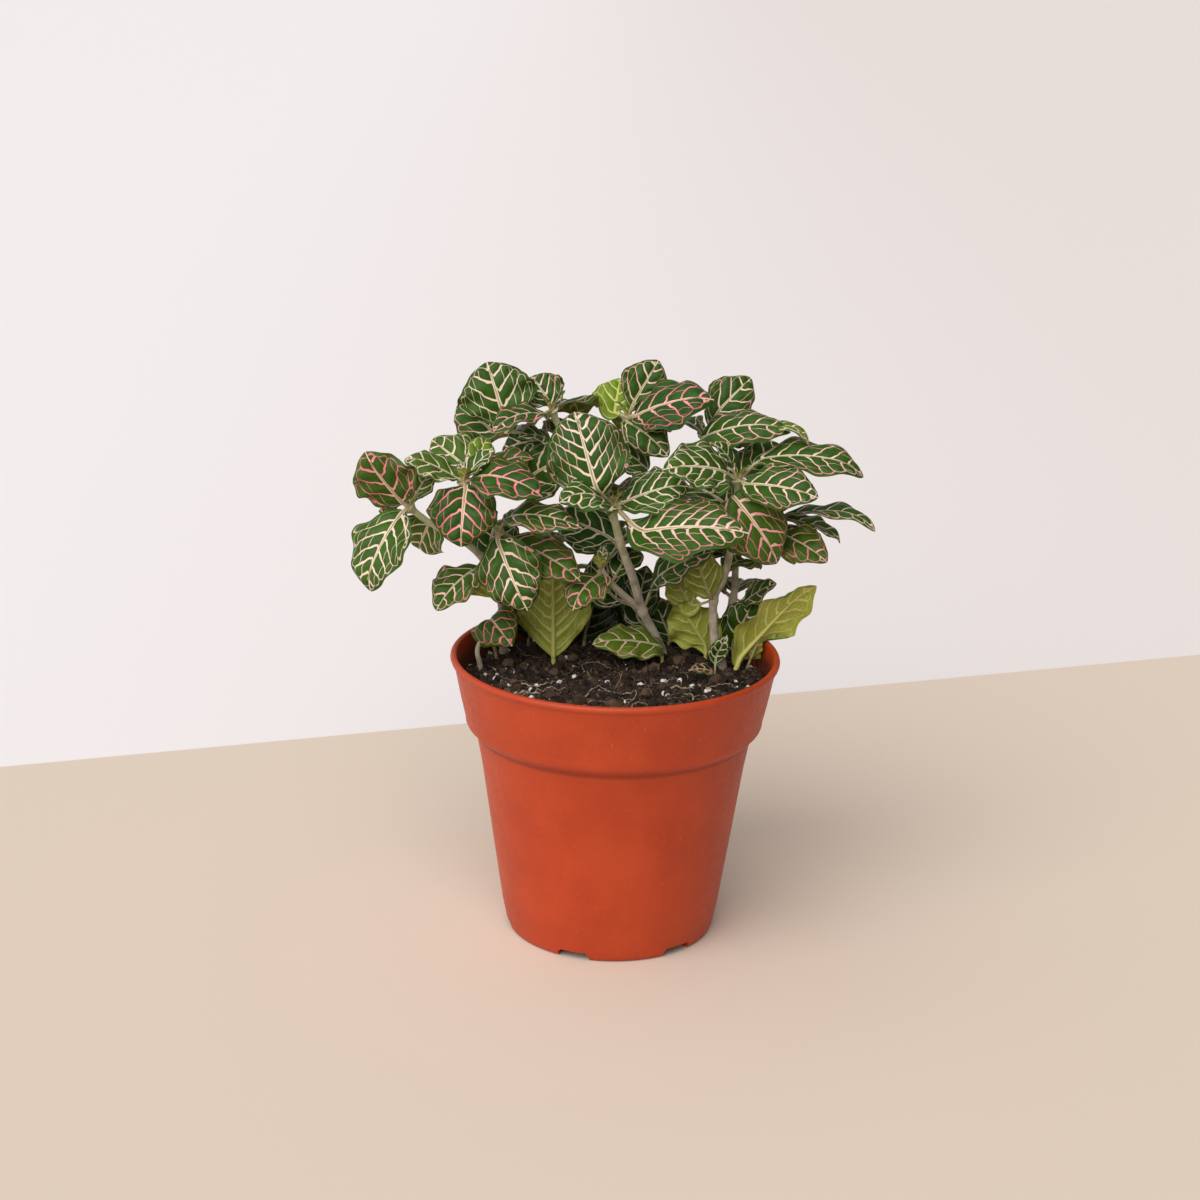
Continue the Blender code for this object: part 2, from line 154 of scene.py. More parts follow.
# Leaves as (stalk, point on it, blade base, tip, width, way the upper side faces, rise near the base,
# rise near the tip, fold in degrees), in millimetres. A leaf with no stalk comes up out of the compost.
LEAVES = {
    "leaf_left_up": ("left", 6, (-78, -4, 163), (-90, -12, 182), 20, (-2, -5, 1), 1, 2, 12),
    "leaf_left_down": ("left", 6, (-78, -5, 158), (-90, -18, 133), 20, (-3, -5, 2), 4, 4, 14),
    "leaf_left_behind": ("left", 6, (-75, 3, 161), (-84, 20, 155), 15, (-1, -1, 4), 2, 2, 10),
    "leaf_left_cream": ("left_crown", 2, (-59, 4, 170), (-77, 2, 178), 13, (-1, -2, 5), 1, 2, 14),
    "leaf_left_shaded": ("left_crown", 2, (-55, 10, 172), (-69, 20, 180), 16, (-1, -4, 3), 1, 1, 10),
    "leaf_left_arched": ("left_crown", 2, (-51, 1, 171), (-27, -14, 169), 17, (0, -2, 3), 5, 4, 12),
    "leaf_left_facing": ("left_crown", 2, (-55, -1, 167), (-56, -14, 149), 21, (0, -5, 3), 4, 3, 12),
    "leaf_left_low": ("left", 3, (-52, 5, 135), (-65, -10, 124), 15, (-2, -4, 4), 3, 3, 12),
    "leaf_inner_right": ("left_inner", 2, (-33, 6, 144), (-13, -7, 136), 15, (0, -3, 3), 2, 2, 12),
    "leaf_inner_down": ("left_inner", 2, (-43, -1, 147), (-32, -12, 125), 20, (-1, -5, 2), 3, 3, 12),
    "leaf_inner_top": ("left_inner", 2, (-39, -1, 157), (-13, -14, 158), 14, (0, -2, 4), 4, 2, 12),
    "leaf_rim_left": (None, (-44, 22), (-46, 14, 113), (-38, 2, 107), 16, (0, -4, 2), 2, 3, 12),
    "leaf_centre": ("front", 7, (-9, -2, 171), (-17, 8, 196), 25, (0, -5, 1), 1, 3, 10),
    "leaf_front_long": ("front", 7, (11, -5, 154), (46, -18, 158), 22, (0, -3, 3), 4, 4, 12),
    "leaf_front_upper": ("front", 7, (3, 5, 162), (25, 2, 170), 17, (0, -3, 4), 2, 2, 12),
    "leaf_front_left": ("front", 7, (-4, 0, 162), (-21, -15, 168), 17, (0, -2, 4), 5, 4, 12),
    "leaf_front_narrow": ("front", 3, (16, 13, 132), (34, -4, 147), 13, (1, -3, 3), 2, 1, 14),
    "leaf_middle_low": ("front_side", 3, (-7, 7, 133), (-16, -10, 126), 15, (-1, -3, 4), 3, 3, 12),
    "leaf_top_left_curled": ("back", 6, (-26, 27, 193), (-33, 32, 202), 15, (0, -4, 2), 1, 1, 10),
    "leaf_top_left_front": ("back", 6, (-30, 17, 191), (-46, 3, 188), 14, (-1, -2, 4), 3, 3, 12),
    "leaf_middle_back": ("back_left", 1, (-32, 16, 168), (-17, 13, 178), 18, (0, -4, 2), 1, 1, 12),
    "leaf_top_left": ("back_left", 2, (-42, 22, 187), (-49, 26, 208), 24, (0, -5, 2), 1, 2, 10),
    "leaf_top_left_behind": ("back_left", 2, (-47, 26, 182), (-60, 35, 190), 16, (0, -3, 3), 1, 1, 10),
    "leaf_top_drooping": ("back_right", 2, (3, 35, 184), (18, 22, 175), 13, (1, -3, 2), 3, 2, 12),
    "leaf_top_back": ("back_right", 2, (-2, 43, 187), (0, 51, 198), 15, (0, -3, 1), 1, 1, 10),
    "leaf_top_middle": ("back_right", 2, (6, 42, 192), (14, 44, 206), 15, (0, -5, 1), 1, 1, 10),
    "leaf_top_right": ("back_right", 2, (7, 35, 187), (33, 22, 198), 21, (0, -3, 4), 3, 2, 12),
    "leaf_right_left": ("right", 7, (39, 9, 172), (16, -6, 178), 19, (0, -3, 3), 4, 2, 12),
    "leaf_right_front": ("right", 7, (47, 6, 169), (71, -6, 168), 16, (0, -3, 3), 3, 3, 12),
    "leaf_right_under": ("right", 6, (42, 4, 164), (59, 0, 141), 22, (1, -4, 2), 3, 3, 10),
    "leaf_right_small": ("right", 7, (44, 18, 170), (57, 28, 175), 11, (0, -2, 3), 1, 1, 12),
    "leaf_right_far": ("right", 7, (54, 14, 177), (90, 10, 173), 15, (0, -2, 4), 5, 6, 12),
    "leaf_right_turned": ("right", 3, (34, 11, 126), (27, 4, 145), 13, (0, 4, -1), 1, 1, 10),
    "leaf_far_long": ("far_right", 5, (63, 22, 154), (94, 6, 153), 10, (0, -1, 5), 3, 9, 14),
    "leaf_far_front": ("far_right", 5, (60, 18, 147), (76, 2, 142), 14, (0, -3, 3), 3, 2, 12),
    "leaf_far_inner": ("far_right", 2, (49, 26, 119), (59, 19, 128), 10, (0, -2, 3), 1, 1, 12),
    "leaf_rear_up": ("rear", 4, (38, 39, 190), (49, 46, 200), 15, (0, -4, 2), 1, 1, 10),
    "leaf_rear_long": ("rear", 4, (31, 27, 181), (62, 14, 188), 15, (0, -3, 4), 5, 6, 12),
    "leaf_rear_flat": ("rear", 4, (40, 37, 178), (55, 38, 184), 12, (0, -2, 4), 1, 1, 12),
    "leaf_low_upright": (None, (-23, 20), (-23, 20, 101), (-24, 24, 141), 23, (0, 5, 1), 0, 1, 10),
    "leaf_low_middle": (None, (18, 22), (16, 21, 102), (-8, 10, 107), 14, (0, -2, 3), 2, 2, 10),
    "leaf_low_right": (None, (34, 22), (33, 22, 104), (22, 19, 121), 17, (0, 4, 1), 0, 1, 10),
    "leaf_low_wavy": (None, (44, 9), (47, 10, 103), (73, 17, 129), 21, (-2, 3, 1), 1, 2, 12),
    "leaf_low_back": (None, (20, 38), (20, 38, 102), (14, 42, 115), 12, (0, -4, 1), 0, 1, 10),
    "leaf_behind_top": ("back", 6, (-22, 32, 191), (-15, 56, 184), 19, (0, 2, 4), 3, 3, 12),
    "leaf_behind_left": ("back_left", 2, (-41, 30, 181), (-52, 53, 172), 18, (-1, 2, 4), 3, 3, 12),
    "leaf_behind_middle": ("back_right", 2, (4, 46, 184), (12, 68, 172), 20, (0, 2, 4), 3, 3, 12),
    "leaf_behind_right": ("rear", 4, (33, 43, 178), (54, 61, 170), 18, (1, 2, 4), 3, 3, 12),
    "leaf_behind_low_right": ("rear", 3, (33, 46, 154), (44, 68, 146), 18, (1, 2, 4), 3, 3, 12),
    "leaf_behind_low_left": ("back", 3, (-12, 42, 136), (-28, 62, 130), 18, (-1, 2, 4), 3, 3, 12),
}
# How each leaf is coloured, where not the usual, as (pink from 0 to 1, or below 0 for a dead leaf that is
# darkened with painted shade as well, green tone from 0 dark to 1 bright).
USUAL_LOOK = (0.45, 0.08)
LOOKS = {
    "leaf_left_up": (0.85, 0.15),
    "leaf_left_down": (0.15, 0.15),
    "leaf_left_cream": (0.05, 0.3),
    "leaf_left_shaded": (0.05, 0.25),
    "leaf_left_arched": (1.0, 0.05),
    "leaf_left_facing": (0.85, 0.05),
    "leaf_left_low": (0.5, 0.15),
    "leaf_inner_right": (0.8, 0.2),
    "leaf_inner_down": (0.45, 0.1),
    "leaf_inner_top": (0.6, 0.1),
    "leaf_rim_left": (1.0, 0.15),
    "leaf_centre": (0.35, 0.05),
    "leaf_front_long": (0.5, 0.1),
    "leaf_front_upper": (0.1, 0.12),
    "leaf_front_left": (0.15, 0.1),
    "leaf_middle_low": (0.85, 0.15),
    "leaf_top_left": (0.15, 0.1),
    "leaf_top_left_front": (0.7, 0.05),
    "leaf_middle_back": (0.1, 0.1),
    "leaf_top_back": (0.1, 1.0),
    "leaf_top_right": (0.8, 0.0),
    "leaf_right_left": (0.2, 0.15),
    "leaf_right_under": (0.75, 0.2),
    "leaf_far_front": (0.8, 0.2),
    "leaf_low_upright": (0.0, 0.7),
    "leaf_low_middle": (0.45, 0.6),
    "leaf_low_right": (0.1, 0.8),
    "leaf_low_wavy": (0.05, 0.8),
    "leaf_right_turned": (0.05, 0.1),
}
# A dead leaf darkened nearly to black, which also stands as painted shade low among the stalks.
WITHERED_AND_SHADED = (-0.8, 0.0)
CROWN_LOOK = (0.35, 0.35)

# How blades are made: rows and columns of points, width as a share of the CAD's, thickness and petiole.
LEAF_ROWS = 56
LEAF_COLUMNS = 31
MORE_ROWS = 48
MORE_COLUMNS = 27
FULLNESS = 1.20
BLADE_THICKNESS = 0.30 * MM
PETIOLE_RADIUS = 0.80 * MM
PETIOLE_SIDES = 10
PETIOLE_SHARE = 0.45
RIB_GROOVE = 0.22 * MM
RIB_HALF_WIDTH = 0.8 * MM
# Side veins: least and most millimetres between them, how much wider on a pink leaf, how far the blade
# swells between them, and their slope and arch.
VEIN_STEPS = (4.2, 6.0)
PINK_SPREAD = 0.30
VEIN_BULGE = 0.48 * MM
VEIN_SLOPE = 0.56
VEIN_ARCH = 0.62
# Leaves keep inside this radius up to the wall's top, and are let out over the next few millimetres.
WALL_INSIDE = 56.3 * MM
WALL_TOP = 106.5 * MM
WALL_FADE = 3 * MM
WALL_RELEASE = 60 * MM
# Leaves grown round the back: tries, lowest place on a stalk, room round each, and how far back they stay.
FILLER_TRIES = 900
FILLER_LOWEST = 112
FILLER_ROOM = 2.6 * MM
FILLER_FRONT = 12 * MM

# Leaves beyond the CAD's, with how each is coloured.
MORE_LEAVES = {
    "young_left": (("left", 6, (-73, 2, 164), (-66, 6, 174), 8, (-1, -3, 1), 1, 1, 20), (0.1, 0.3)),
    "left_under": (("left", 5, (-68, 4, 153), (-73, 9, 140), 16, (-1, -4, 2), 1, 1, 12), (0.1, 0.3)),
    "left_bright": (("left_crown", 2, (-51, 11, 176), (-48, 19, 182), 9, (0, -3, 1), 1, 1, 12), (0.0, 0.7)),
    "left_folded": (("left_crown", 2, (-54, 3, 172), (-45, 6, 180), 9, (0, -1, 4), 1, 1, 24), (0.1, 0.1)),
    "left_hot": (("left_crown", 2, (-44, 8, 174), (-31, 5, 178), 9, (0, -2, 3), 2, 2, 12), (1.0, 0.1)),
    "left_turned": (("left", 2, (-46, 15, 124), (-51, 10, 135), 14, (0, 4, 1), 1, 1, 10), (0.0, 0.6)),
    "left_dark": (("left", 2, (-40, 22, 124), (-33, 24, 138), 14, (0, -4, 1), 1, 1, 10), (0.1, 0.0)),
    "back_small": (("back_left", 1, (-25, 20, 180), (-36, 10, 185), 10, (0, -2, 4), 2, 1, 14), (0.3, 0.1)),
    "back_dark": (("back_right", 1, (10, 30, 168), (-3, 27, 178), 13, (0, -2, 4), 1, 1, 10), (0.1, 0.1)),
    "middle_dark": (("front", 3, (-3, 30, 122), (-4, 34, 138), 15, (0, -4, 0), 1, 1, 10), (0.1, 0.0)),
    # Half darkened as a dead leaf, which is also painted shade in the gap above the compost.
    "middle_dark_low": (("front", 2, (8, 30, 112), (11, 31, 130), 13, (0, -4, 0), 1, 1, 10), (-0.5, 0.0)),
    "right_turned_small": (("right", 3, (27, 19, 120), (19, 24, 132), 11, (0, 3, 1), 1, 1, 10), (0.0, 0.5)),
    "right_dark": (("right", 7, (48, 22, 171), (60, 32, 179), 13, (0, -3, 3), 1, 1, 12), (0.1, 0.1)),
    "right_thin": (("far_right", 5, (63, 22, 152), (83, 18, 145), 10, (0, -1, 5), 1, 4, 14), (0.2, 0.2)),
    "right_crown": (("right", 7, (41, 15, 173), (34, 12, 183), 10, (0, -1, 2), 2, 1, 20), (0.2, 0.1)),
    "right_hooked": ((None, (48, 13), (54, 14, 109), (61, 19, 117), 10, (0, 3, 1), 1, 3, 10), (0.0, 0.4)),
    "back_gap": (("back_left", 1, (-28, 22, 180), (-44, 20, 176), 13, (0, -3, 3), 2, 2, 12), (0.6, 0.0)),
    "inner_back": (("front", 5, (-5, 20, 145), (-24, 24, 152), 17, (0, -3, 2), 1, 1, 12), (0.1, 0.0)),
    "rear_curled": (("rear", 4, (55, 19, 187), (69, 13, 182), 8, (0, -1, 5), 5, 6, 14), (0.2, 0.5)),
    # Low leaves darkened as dead leaves and with painted shade, to fill the dark gap above the compost.
    "low_dark_left": ((None, (-33, 37), (-33, 35, 104), (-37, 31, 124), 16, (0, -4, 1), 1, 1, 10), WITHERED_AND_SHADED),
    "low_dark_middle": ((None, (-12, 37), (-11, 35, 103), (-6, 34, 123), 18, (0, -4, 1), 1, 1, 10), WITHERED_AND_SHADED),
    "low_dark_right": ((None, (10, 42), (9, 42, 104), (4, 46, 125), 16, (0, -4, 1), 1, 1, 10), WITHERED_AND_SHADED),
    "low_dark_far": ((None, (45, 28), (45, 28, 103), (52, 26, 120), 14, (0, -4, 1), 1, 1, 10), (0.1, 0.2)),
    "soil_shiny": ((None, (37, 9), (38, 9, 104), (41, 7, 111), 6, (0, -4, 1), 1, 1, 20), (0.0, 0.1)),
    "soil_folded": ((None, (37, 3), (35, 2, 99), (27, -3, 101), 5, (0, -2, 3), 1, 1, 16), (0.9, 0.0)),
}


def srgb(red, green, blue):
    """A colour as seen on a screen, from 0 to 255, as linear RGBA."""
    linear = []
    for value in (red, green, blue):
        value /= 255
        linear.append(value / 12.92 if value <= 0.04045 else ((value + 0.055) / 1.055) ** 2.4)
    return (*linear, 1.0)


def millimetres(values):
    return Vector(values) * MM


# ---- materials -------------------------------------------------------------------------------------------


class Value:
    """An output of a material's node, which can be added, subtracted, multiplied and divided."""

    def __init__(self, shading, socket):
        self.shading = shading
        self.socket = socket

    def __add__(self, other):
        return self.shading.math("ADD", self, other)

    def __sub__(self, other):
        return self.shading.math("SUBTRACT", self, other)

    def __rsub__(self, other):
        return self.shading.math("SUBTRACT", other, self)

    def __mul__(self, other):
        return self.shading.math("MULTIPLY", self, other)

    def __truediv__(self, other):
        return self.shading.math("DIVIDE", self, other)


class Shading:
    """A material's node tree, with short names for the nodes that it is built from."""

    def __init__(self, name):
        self.material = bpy.data.materials.new(name)
        self.material.use_nodes = True
        self.tree = self.material.node_tree
        self.shader = self.tree.nodes["Principled BSDF"]
        self.where = Value(self, self.node("ShaderNodeTexCoord").outputs["Object"])

    def node(self, kind, **settings):
        made = self.tree.nodes.new(kind)
        for name, value in settings.items():
            setattr(made, name, value)
        return made

    def feed(self, socket, value):
        if isinstance(value, Value):
            self.tree.links.new(value.socket, socket)
        else:
            socket.default_value = value

    def math(self, operation, first, second=0.0, clamp=False):
        made = self.node("ShaderNodeMath", operation=operation, use_clamp=clamp)
        self.feed(made.inputs[0], first)
        self.feed(made.inputs[1], second)
        return Value(self, made.outputs[0])

    def split(self, vector):
        made = self.node("ShaderNodeSeparateXYZ")
        self.feed(made.inputs[0], vector)
        return [Value(self, output) for output in made.outputs]

    def join(self, x, y, z=0.0):
        made = self.node("ShaderNodeCombineXYZ")
        for socket, value in zip(made.inputs, (x, y, z)):
            self.feed(socket, value)
        return Value(self, made.outputs[0])

    def attribute(self, name):
        """The three numbers that the mesh holds for each point under this name."""
        made = self.node("ShaderNodeAttribute", attribute_name=name)
        return self.split(Value(self, made.outputs["Vector"]))

    def noise(self, scale, detail=3.0, roughness=0.55, at=None):
        made = self.node("ShaderNodeTexNoise")
        self.feed(made.inputs["Vector"], self.where if at is None else at)
        for name, value in (("Scale", scale), ("Detail", detail), ("Roughness", roughness)):
            made.inputs[name].default_value = value
        return Value(self, made.outputs["Fac"])

    def ramp(self, value, low, high, start=0.0, end=1.0):
        """A smooth step from start to end as the value goes from low to high."""
        made = self.node("ShaderNodeMapRange", interpolation_type="SMOOTHSTEP")
        for socket, given in zip(made.inputs, (value, low, high, start, end)):
            self.feed(socket, given)
        return Value(self, made.outputs[0])

    def line(self, away, width, edge):
        """1 nearer than the width to a line's middle and 0 beyond it, with a soft edge."""
        return self.ramp(away, width + edge, width - edge)

    def mix(self, share, first, second):
        made = self.node("ShaderNodeMix", data_type="RGBA")
        self.feed(made.inputs["Factor"], share)
        self.feed(made.inputs[6], first)
        self.feed(made.inputs[7], second)
        return Value(self, made.outputs[2])

    def bump(self, height, strength, distance, under=None):
        made = self.node("ShaderNodeBump")
        made.inputs["Strength"].default_value = strength
        made.inputs["Distance"].default_value = distance
        self.feed(made.inputs["Height"], height)
        if under is not None:
            self.feed(made.inputs["Normal"], under)
        return Value(self, made.outputs[0])

    def finish(self, colour, roughness, normal=None, **uniform):
        self.feed(self.shader.inputs["Base Color"], colour)
        self.feed(self.shader.inputs["Roughness"], roughness)
        if normal is not None:
            self.feed(self.shader.inputs["Normal"], normal)
        for name, value in uniform.items():
            self.shader.inputs[name.replace("_", " ").title().replace("Ior", "IOR")].default_value = value
        return self.material


def pot_material():
    """Moulded terracotta-coloured plastic with a fine grain: scuffed, soil-stained and with painted shade on
    the inner wall, and painted shade under the collar's step.
    """
    s = Shading("pot_plastic")
    x, y, height = s.split(s.where)
    grain = s.noise(1900.0, 2.0, 0.6)
    speck = s.noise(620.0, 2.0, 0.7)
    base = s.mix(s.ramp(s.noise(38.0, 4.0), 0.3, 0.7), srgb(172, 57, 18), srgb(187, 67, 26))
    base = s.mix(s.ramp(grain, 0.35, 0.75, 0.0, 0.30), base, srgb(164, 52, 22))
    base = s.mix(s.ramp(speck, 0.62, 0.8, 0.0, 0.25), base, srgb(224, 118, 84))
    scratch = s.noise(240.0, 5.0, 0.7, at=s.join(x * 3.0, y, height))
    on_collar = s.ramp(height, 0.079, 0.083) * s.ramp(height, 0.096, 0.088)
    near_foot = s.ramp(scratch, 0.62, 0.72) * s.ramp(height, 0.006, 0.001)
    scuffed = s.math("MAXIMUM", s.ramp(scratch, 0.66, 0.74) * on_collar, near_foot)
    base = s.mix(scuffed * 0.4, base, srgb(236, 168, 138))
    # Soil stain and painted shade: near the lip the inner wall goes dark brown, as soil dust and as the shade
    # inside the pot.
    radius = s.math("SQRT", x * x + y * y)
    wall = (height - POT_MIDDLE_HEIGHT) * POT_FLARE + POT_MIDDLE
    inside = s.math("LESS_THAN", radius, wall) * s.ramp(height, 0.1045, 0.098) * s.ramp(height, 0.084, 0.086)
    base = s.mix(inside * s.ramp(speck, 0.3, 0.55, 0.55, 0.95), base, srgb(62, 34, 24))
    # Painted shade: a dark band just under the collar's step, where the overhang keeps light off the body.
    crease_shade = s.ramp(height, 0.0790, 0.0772) * s.ramp(height, 0.0756, 0.0766)
    base = s.mix(crease_shade * 0.45, base, srgb(104, 34, 14))
    roughness = s.ramp(s.noise(300.0), 0.3, 0.7, 0.42, 0.52)
    normal = s.bump(s.noise(120.0, 2.0), 0.05, 0.0006, s.bump(grain, 0.22, 0.0002))
    return s.finish(base, roughness, normal, specular_ior_level=0.36)


def soil_material():
    """Damp dark peat, crumb by crumb lighter or darker."""
    s = Shading("peat")
    clump = s.noise(260.0, 5.0, 0.7)
    fine = s.noise(1500.0, 4.0, 0.7)
    colour = s.mix(s.ramp(clump, 0.35, 0.7), srgb(20, 13, 10), srgb(66, 48, 37))
    colour = s.mix(s.ramp(fine, 0.55, 0.8, 0.0, 0.6), colour, srgb(112, 88, 70))
    roughness = s.ramp(clump, 0.3, 0.7, 0.75, 0.98)
    return s.finish(colour, roughness, s.bump(fine, 0.7, 0.0006), specular_ior_level=0.3)


def crumb_material():
    """Crumbs and bark bits: each has its own shade of brown, held in a point attribute."""
    s = Shading("crumbs")
    shade, _, _ = s.attribute("shade")
    fine = s.noise(1800.0, 4.0, 0.7)
    colour = s.mix(shade * shade, srgb(22, 14, 10), srgb(98, 76, 59))
    colour = s.mix(s.ramp(fine, 0.5, 0.8, 0.0, 0.5), colour, srgb(112, 90, 72))
    roughness = s.ramp(fine, 0.3, 0.7, 0.8, 0.95)
    return s.finish(colour, roughness, s.bump(fine, 0.6, 0.0004), specular_ior_level=0.3)


def perlite_material():
    """White puffed grains, dirty in the pits."""
    s = Shading("perlite")
    pits = s.noise(1600.0, 4.0, 0.7)
    colour = s.mix(s.ramp(pits, 0.3, 0.6), srgb(168, 158, 150), srgb(240, 237, 234))
    colour = s.mix(s.ramp(s.noise(500.0), 0.6, 0.75, 0.0, 0.7), colour, srgb(120, 98, 84))
    return s.finish(colour, s.ramp(pits, 0.3, 0.7, 0.7, 0.85), s.bump(pits, 0.7, 0.0004))


def root_material():
    """Pale dry roots and straw-like scraps."""
    s = Shading("dry_fibre")
    streak = s.noise(700.0, 4.0, 0.7)
    colour = s.mix(s.ramp(streak, 0.35, 0.65), srgb(92, 76, 60), srgb(178, 162, 138))
    return s.finish(colour, s.ramp(streak, 0.3, 0.7, 0.75, 0.9), s.bump(streak, 0.5, 0.0003))


def stem_material():
    """Softly hairy skin, grey-brown near the root and greener towards the crown, with pale streaks."""
    s = Shading("hairy_stem")
    around, along, crown = s.attribute("skin")
    streak = s.noise(2.2, 4.0, 0.65, at=s.join(around * 6.0, along * 60.0))
    blotch = s.ramp(s.noise(160.0), 0.35, 0.65)
    old = s.mix(blotch, srgb(150, 134, 112), srgb(200, 185, 162))
    young = s.mix(blotch, srgb(148, 152, 92), srgb(194, 192, 142))
    colour = s.mix(s.ramp(crown, 0.25, 0.9), old, young)
    colour = s.mix(s.ramp(streak, 0.52, 0.72, 0.0, 0.75), colour, srgb(228, 220, 202))
    hair = s.noise(2600.0, 3.0, 0.7)
    normal = s.bump(hair, 0.6, 0.0003, s.bump(streak, 0.4, 0.0004))
    return s.finish(
        colour, s.ramp(hair, 0.3, 0.7, 0.62, 0.8), normal,
        sheen_weight=0.35, sheen_roughness=0.5, specular_ior_level=0.3,
    )


def vein_masks(s):
    """How much of each point is midrib, side vein and net vein. Widths and distances are in millimetres."""
    phase, spacing, along = s.attribute("vein")
    from_midrib, to_margin, reach = s.attribute("spot")
    _, _, size = s.attribute("tint")
    wobble = s.noise(240.0, 1.0)
    uneven = s.noise(420.0, 1.0) * 0.4 + 0.8
    shifted = phase + (wobble - 0.5) * 0.55
    share = s.math("ABSOLUTE", s.math("FRACT", shifted + 0.5) - 0.5)
    side = s.line(share * spacing, (0.46 - along * 0.022) * uneven * size, 0.07)
    midrib = s.line(from_midrib, (0.90 - reach * 0.66) * size, 0.08)
    # Cross veins run from one side vein to the next: each one is whole or absent.
    cell = s.math("FLOOR", shifted)
    rung = along * 0.19 + s.math("FRACT", cell * 0.377) * 1.7 + wobble * 0.45
    number = s.math("FLOOR", rung) * 4.37 + cell * 2.71
    kept = s.math("GREATER_THAN", s.math("FRACT", number), 0.22)
    from_rung = s.math("ABSOLUTE", s.math("FRACT", rung) - 0.5)
    net = s.line(from_rung, uneven * 0.040 * size, 0.012) * kept
    # Near the margin, the side veins join in loops.
    middle = 1.0 - share * 2.0
    inset = middle * middle * 1.2 + 1.0 + (wobble * 1.6 - 0.8)
    loop = s.ramp(s.math("ABSOLUTE", to_margin - inset * size), 0.25, 0.12)
    inside = s.ramp(to_margin / size, 1.5, 2.2)
    net = s.math("MAXIMUM", net * inside, loop) * 0.85
    return midrib, side * inside, net


def leaf_upper_side(s, veins, mottle):
    """Dark to bright green, with veins that go from cream to pink towards the margin and the tip."""
    midrib, side, net = veins
    pink, tone, _ = s.attribute("tint")
    _, to_margin, reach = s.attribute("spot")
    _, _, along = s.attribute("vein")
    patch = s.noise(150.0, 2.0)
    withered_and_shaded = s.ramp(pink, 0.0, -1.0)
    dark = s.mix(mottle, srgb(15, 44, 3), srgb(40, 86, 9))
    dark = s.mix(s.ramp(patch, 0.45, 0.7, 0.0, 0.5), dark, srgb(50, 97, 15))
    bright = s.mix(mottle, srgb(78, 112, 16), srgb(136, 154, 44))
    green = s.mix(tone, dark, bright)
    green = s.mix(s.ramp(to_margin, 0.7, 0.1, 0.0, 0.55), green, srgb(58, 92, 32))
    # Below 0 pink, the green and the veins go dark olive: a dead leaf and painted shade at once.
    green = s.mix(withered_and_shaded, green, srgb(26, 30, 14))
    blush = along * 0.045 + reach * 0.40 + (patch * 1.2 - 0.60)
    blush = s.math("ADD", blush, pink * 1.5 - 0.85, clamp=True)
    blush = s.math("MULTIPLY", blush, s.ramp(pink, 0.0, 0.5), clamp=True)
    cream = s.mix(s.ramp(tone, 0.55, 0.9), srgb(234, 209, 188), srgb(204, 206, 120))
    vein = s.mix(withered_and_shaded, s.mix(blush, cream, srgb(232, 120, 138)), srgb(64, 66, 44))
    rib = s.mix(withered_and_shaded, s.mix(blush * 0.7, cream, srgb(240, 150, 150)), srgb(96, 92, 62))
    above = s.mix(net, green, s.mix(0.2, vein, green))
    return s.mix(midrib, s.mix(side, above, vein), rib)


def leaf_material():
    """Net-veined blade: dark green above with cream to pink veins, pale olive below, a hairy petiole."""
    s = Shading("leaf_blade")
    pink, tone, _ = s.attribute("tint")
    under, petiole, _ = s.attribute("part")
    midrib, side, net = vein_masks(s)
    mottle = s.noise(1100.0, 3.0, 0.6)
    above = leaf_upper_side(s, (midrib, side, net), mottle)
    lines = s.math("MAXIMUM", midrib, s.math("MAXIMUM", side, net * 0.7))
    below = s.mix(mottle, srgb(94, 106, 38), srgb(136, 144, 64))
    below = s.mix(tone, below, s.mix(mottle, srgb(136, 146, 44), srgb(186, 188, 84)))
    below = s.mix(lines * 0.75, below, srgb(212, 206, 124))
    colour = s.mix(s.ramp(under, 0.45, 0.55), above, below)
    stalk = s.mix(s.noise(500.0), srgb(116, 112, 66), srgb(196, 186, 142))
    stalk = s.mix(s.ramp(tone, 0.3, 0.7), stalk, srgb(196, 192, 108))
    stalk = s.mix(pink * 0.25, stalk, srgb(196, 128, 110))
    colour = s.mix(petiole, colour, stalk)
    grooves = lines * -1.0 + s.noise(700.0, 3.0, 0.6) * 0.5
    normal = s.bump(s.noise(3200.0, 2.0), 0.12, 0.0001, s.bump(grooves, 0.55, 0.00025))
    return s.finish(
        colour, s.ramp(mottle, 0.3, 0.7, 0.40, 0.54), normal,
        specular_ior_level=0.22, sheen_weight=0.03, sheen_roughness=0.35,
        subsurface_weight=0.06, subsurface_scale=0.001,
    )


def floor_material():
    """Pale beige in front and near-white beyond a slanting line, as a table against a wall; the near-white
    part greys towards +x as painted shade.
    """
    s = Shading("stage_floor")
    x, y, _ = s.split(s.where)
    behind = y - (x * BACKDROP_SLANT + BACKDROP_START)
    # Painted shade: the near-white backdrop goes greyer towards the right, away from the light.
    wall = s.mix(s.ramp(x, -0.5, 0.5), srgb(243, 238, 240), srgb(231, 223, 221))
    colour = s.mix(s.ramp(behind, -BACKDROP_BLUR, BACKDROP_BLUR), srgb(222, 205, 189), wall)
    return s.finish(colour, 0.7, specular_ior_level=0.2)


# ---- mesh helpers ----------------------------------------------------------------------------------------


def linked(name, data):
    """A new object in the scene."""
    made = bpy.data.objects.new(name, data)
    bpy.context.scene.collection.objects.link(made)
    return made


def add_piece(name, mesh, material, slot, *nodes):
    """A shown piece that rides on the body, standing for the named CAD nodes."""
    piece = linked(name, mesh)
    mesh.materials.append(material)
    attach(piece, BODY)
    if nodes:
        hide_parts(*nodes)


def mesh_of(name, points, faces):
    """A mesh of arrays of points, one after another, and faces."""
    mesh = bpy.data.meshes.new(name)
    mesh.from_pydata(np.concatenate(points).tolist(), [], faces)
    return mesh


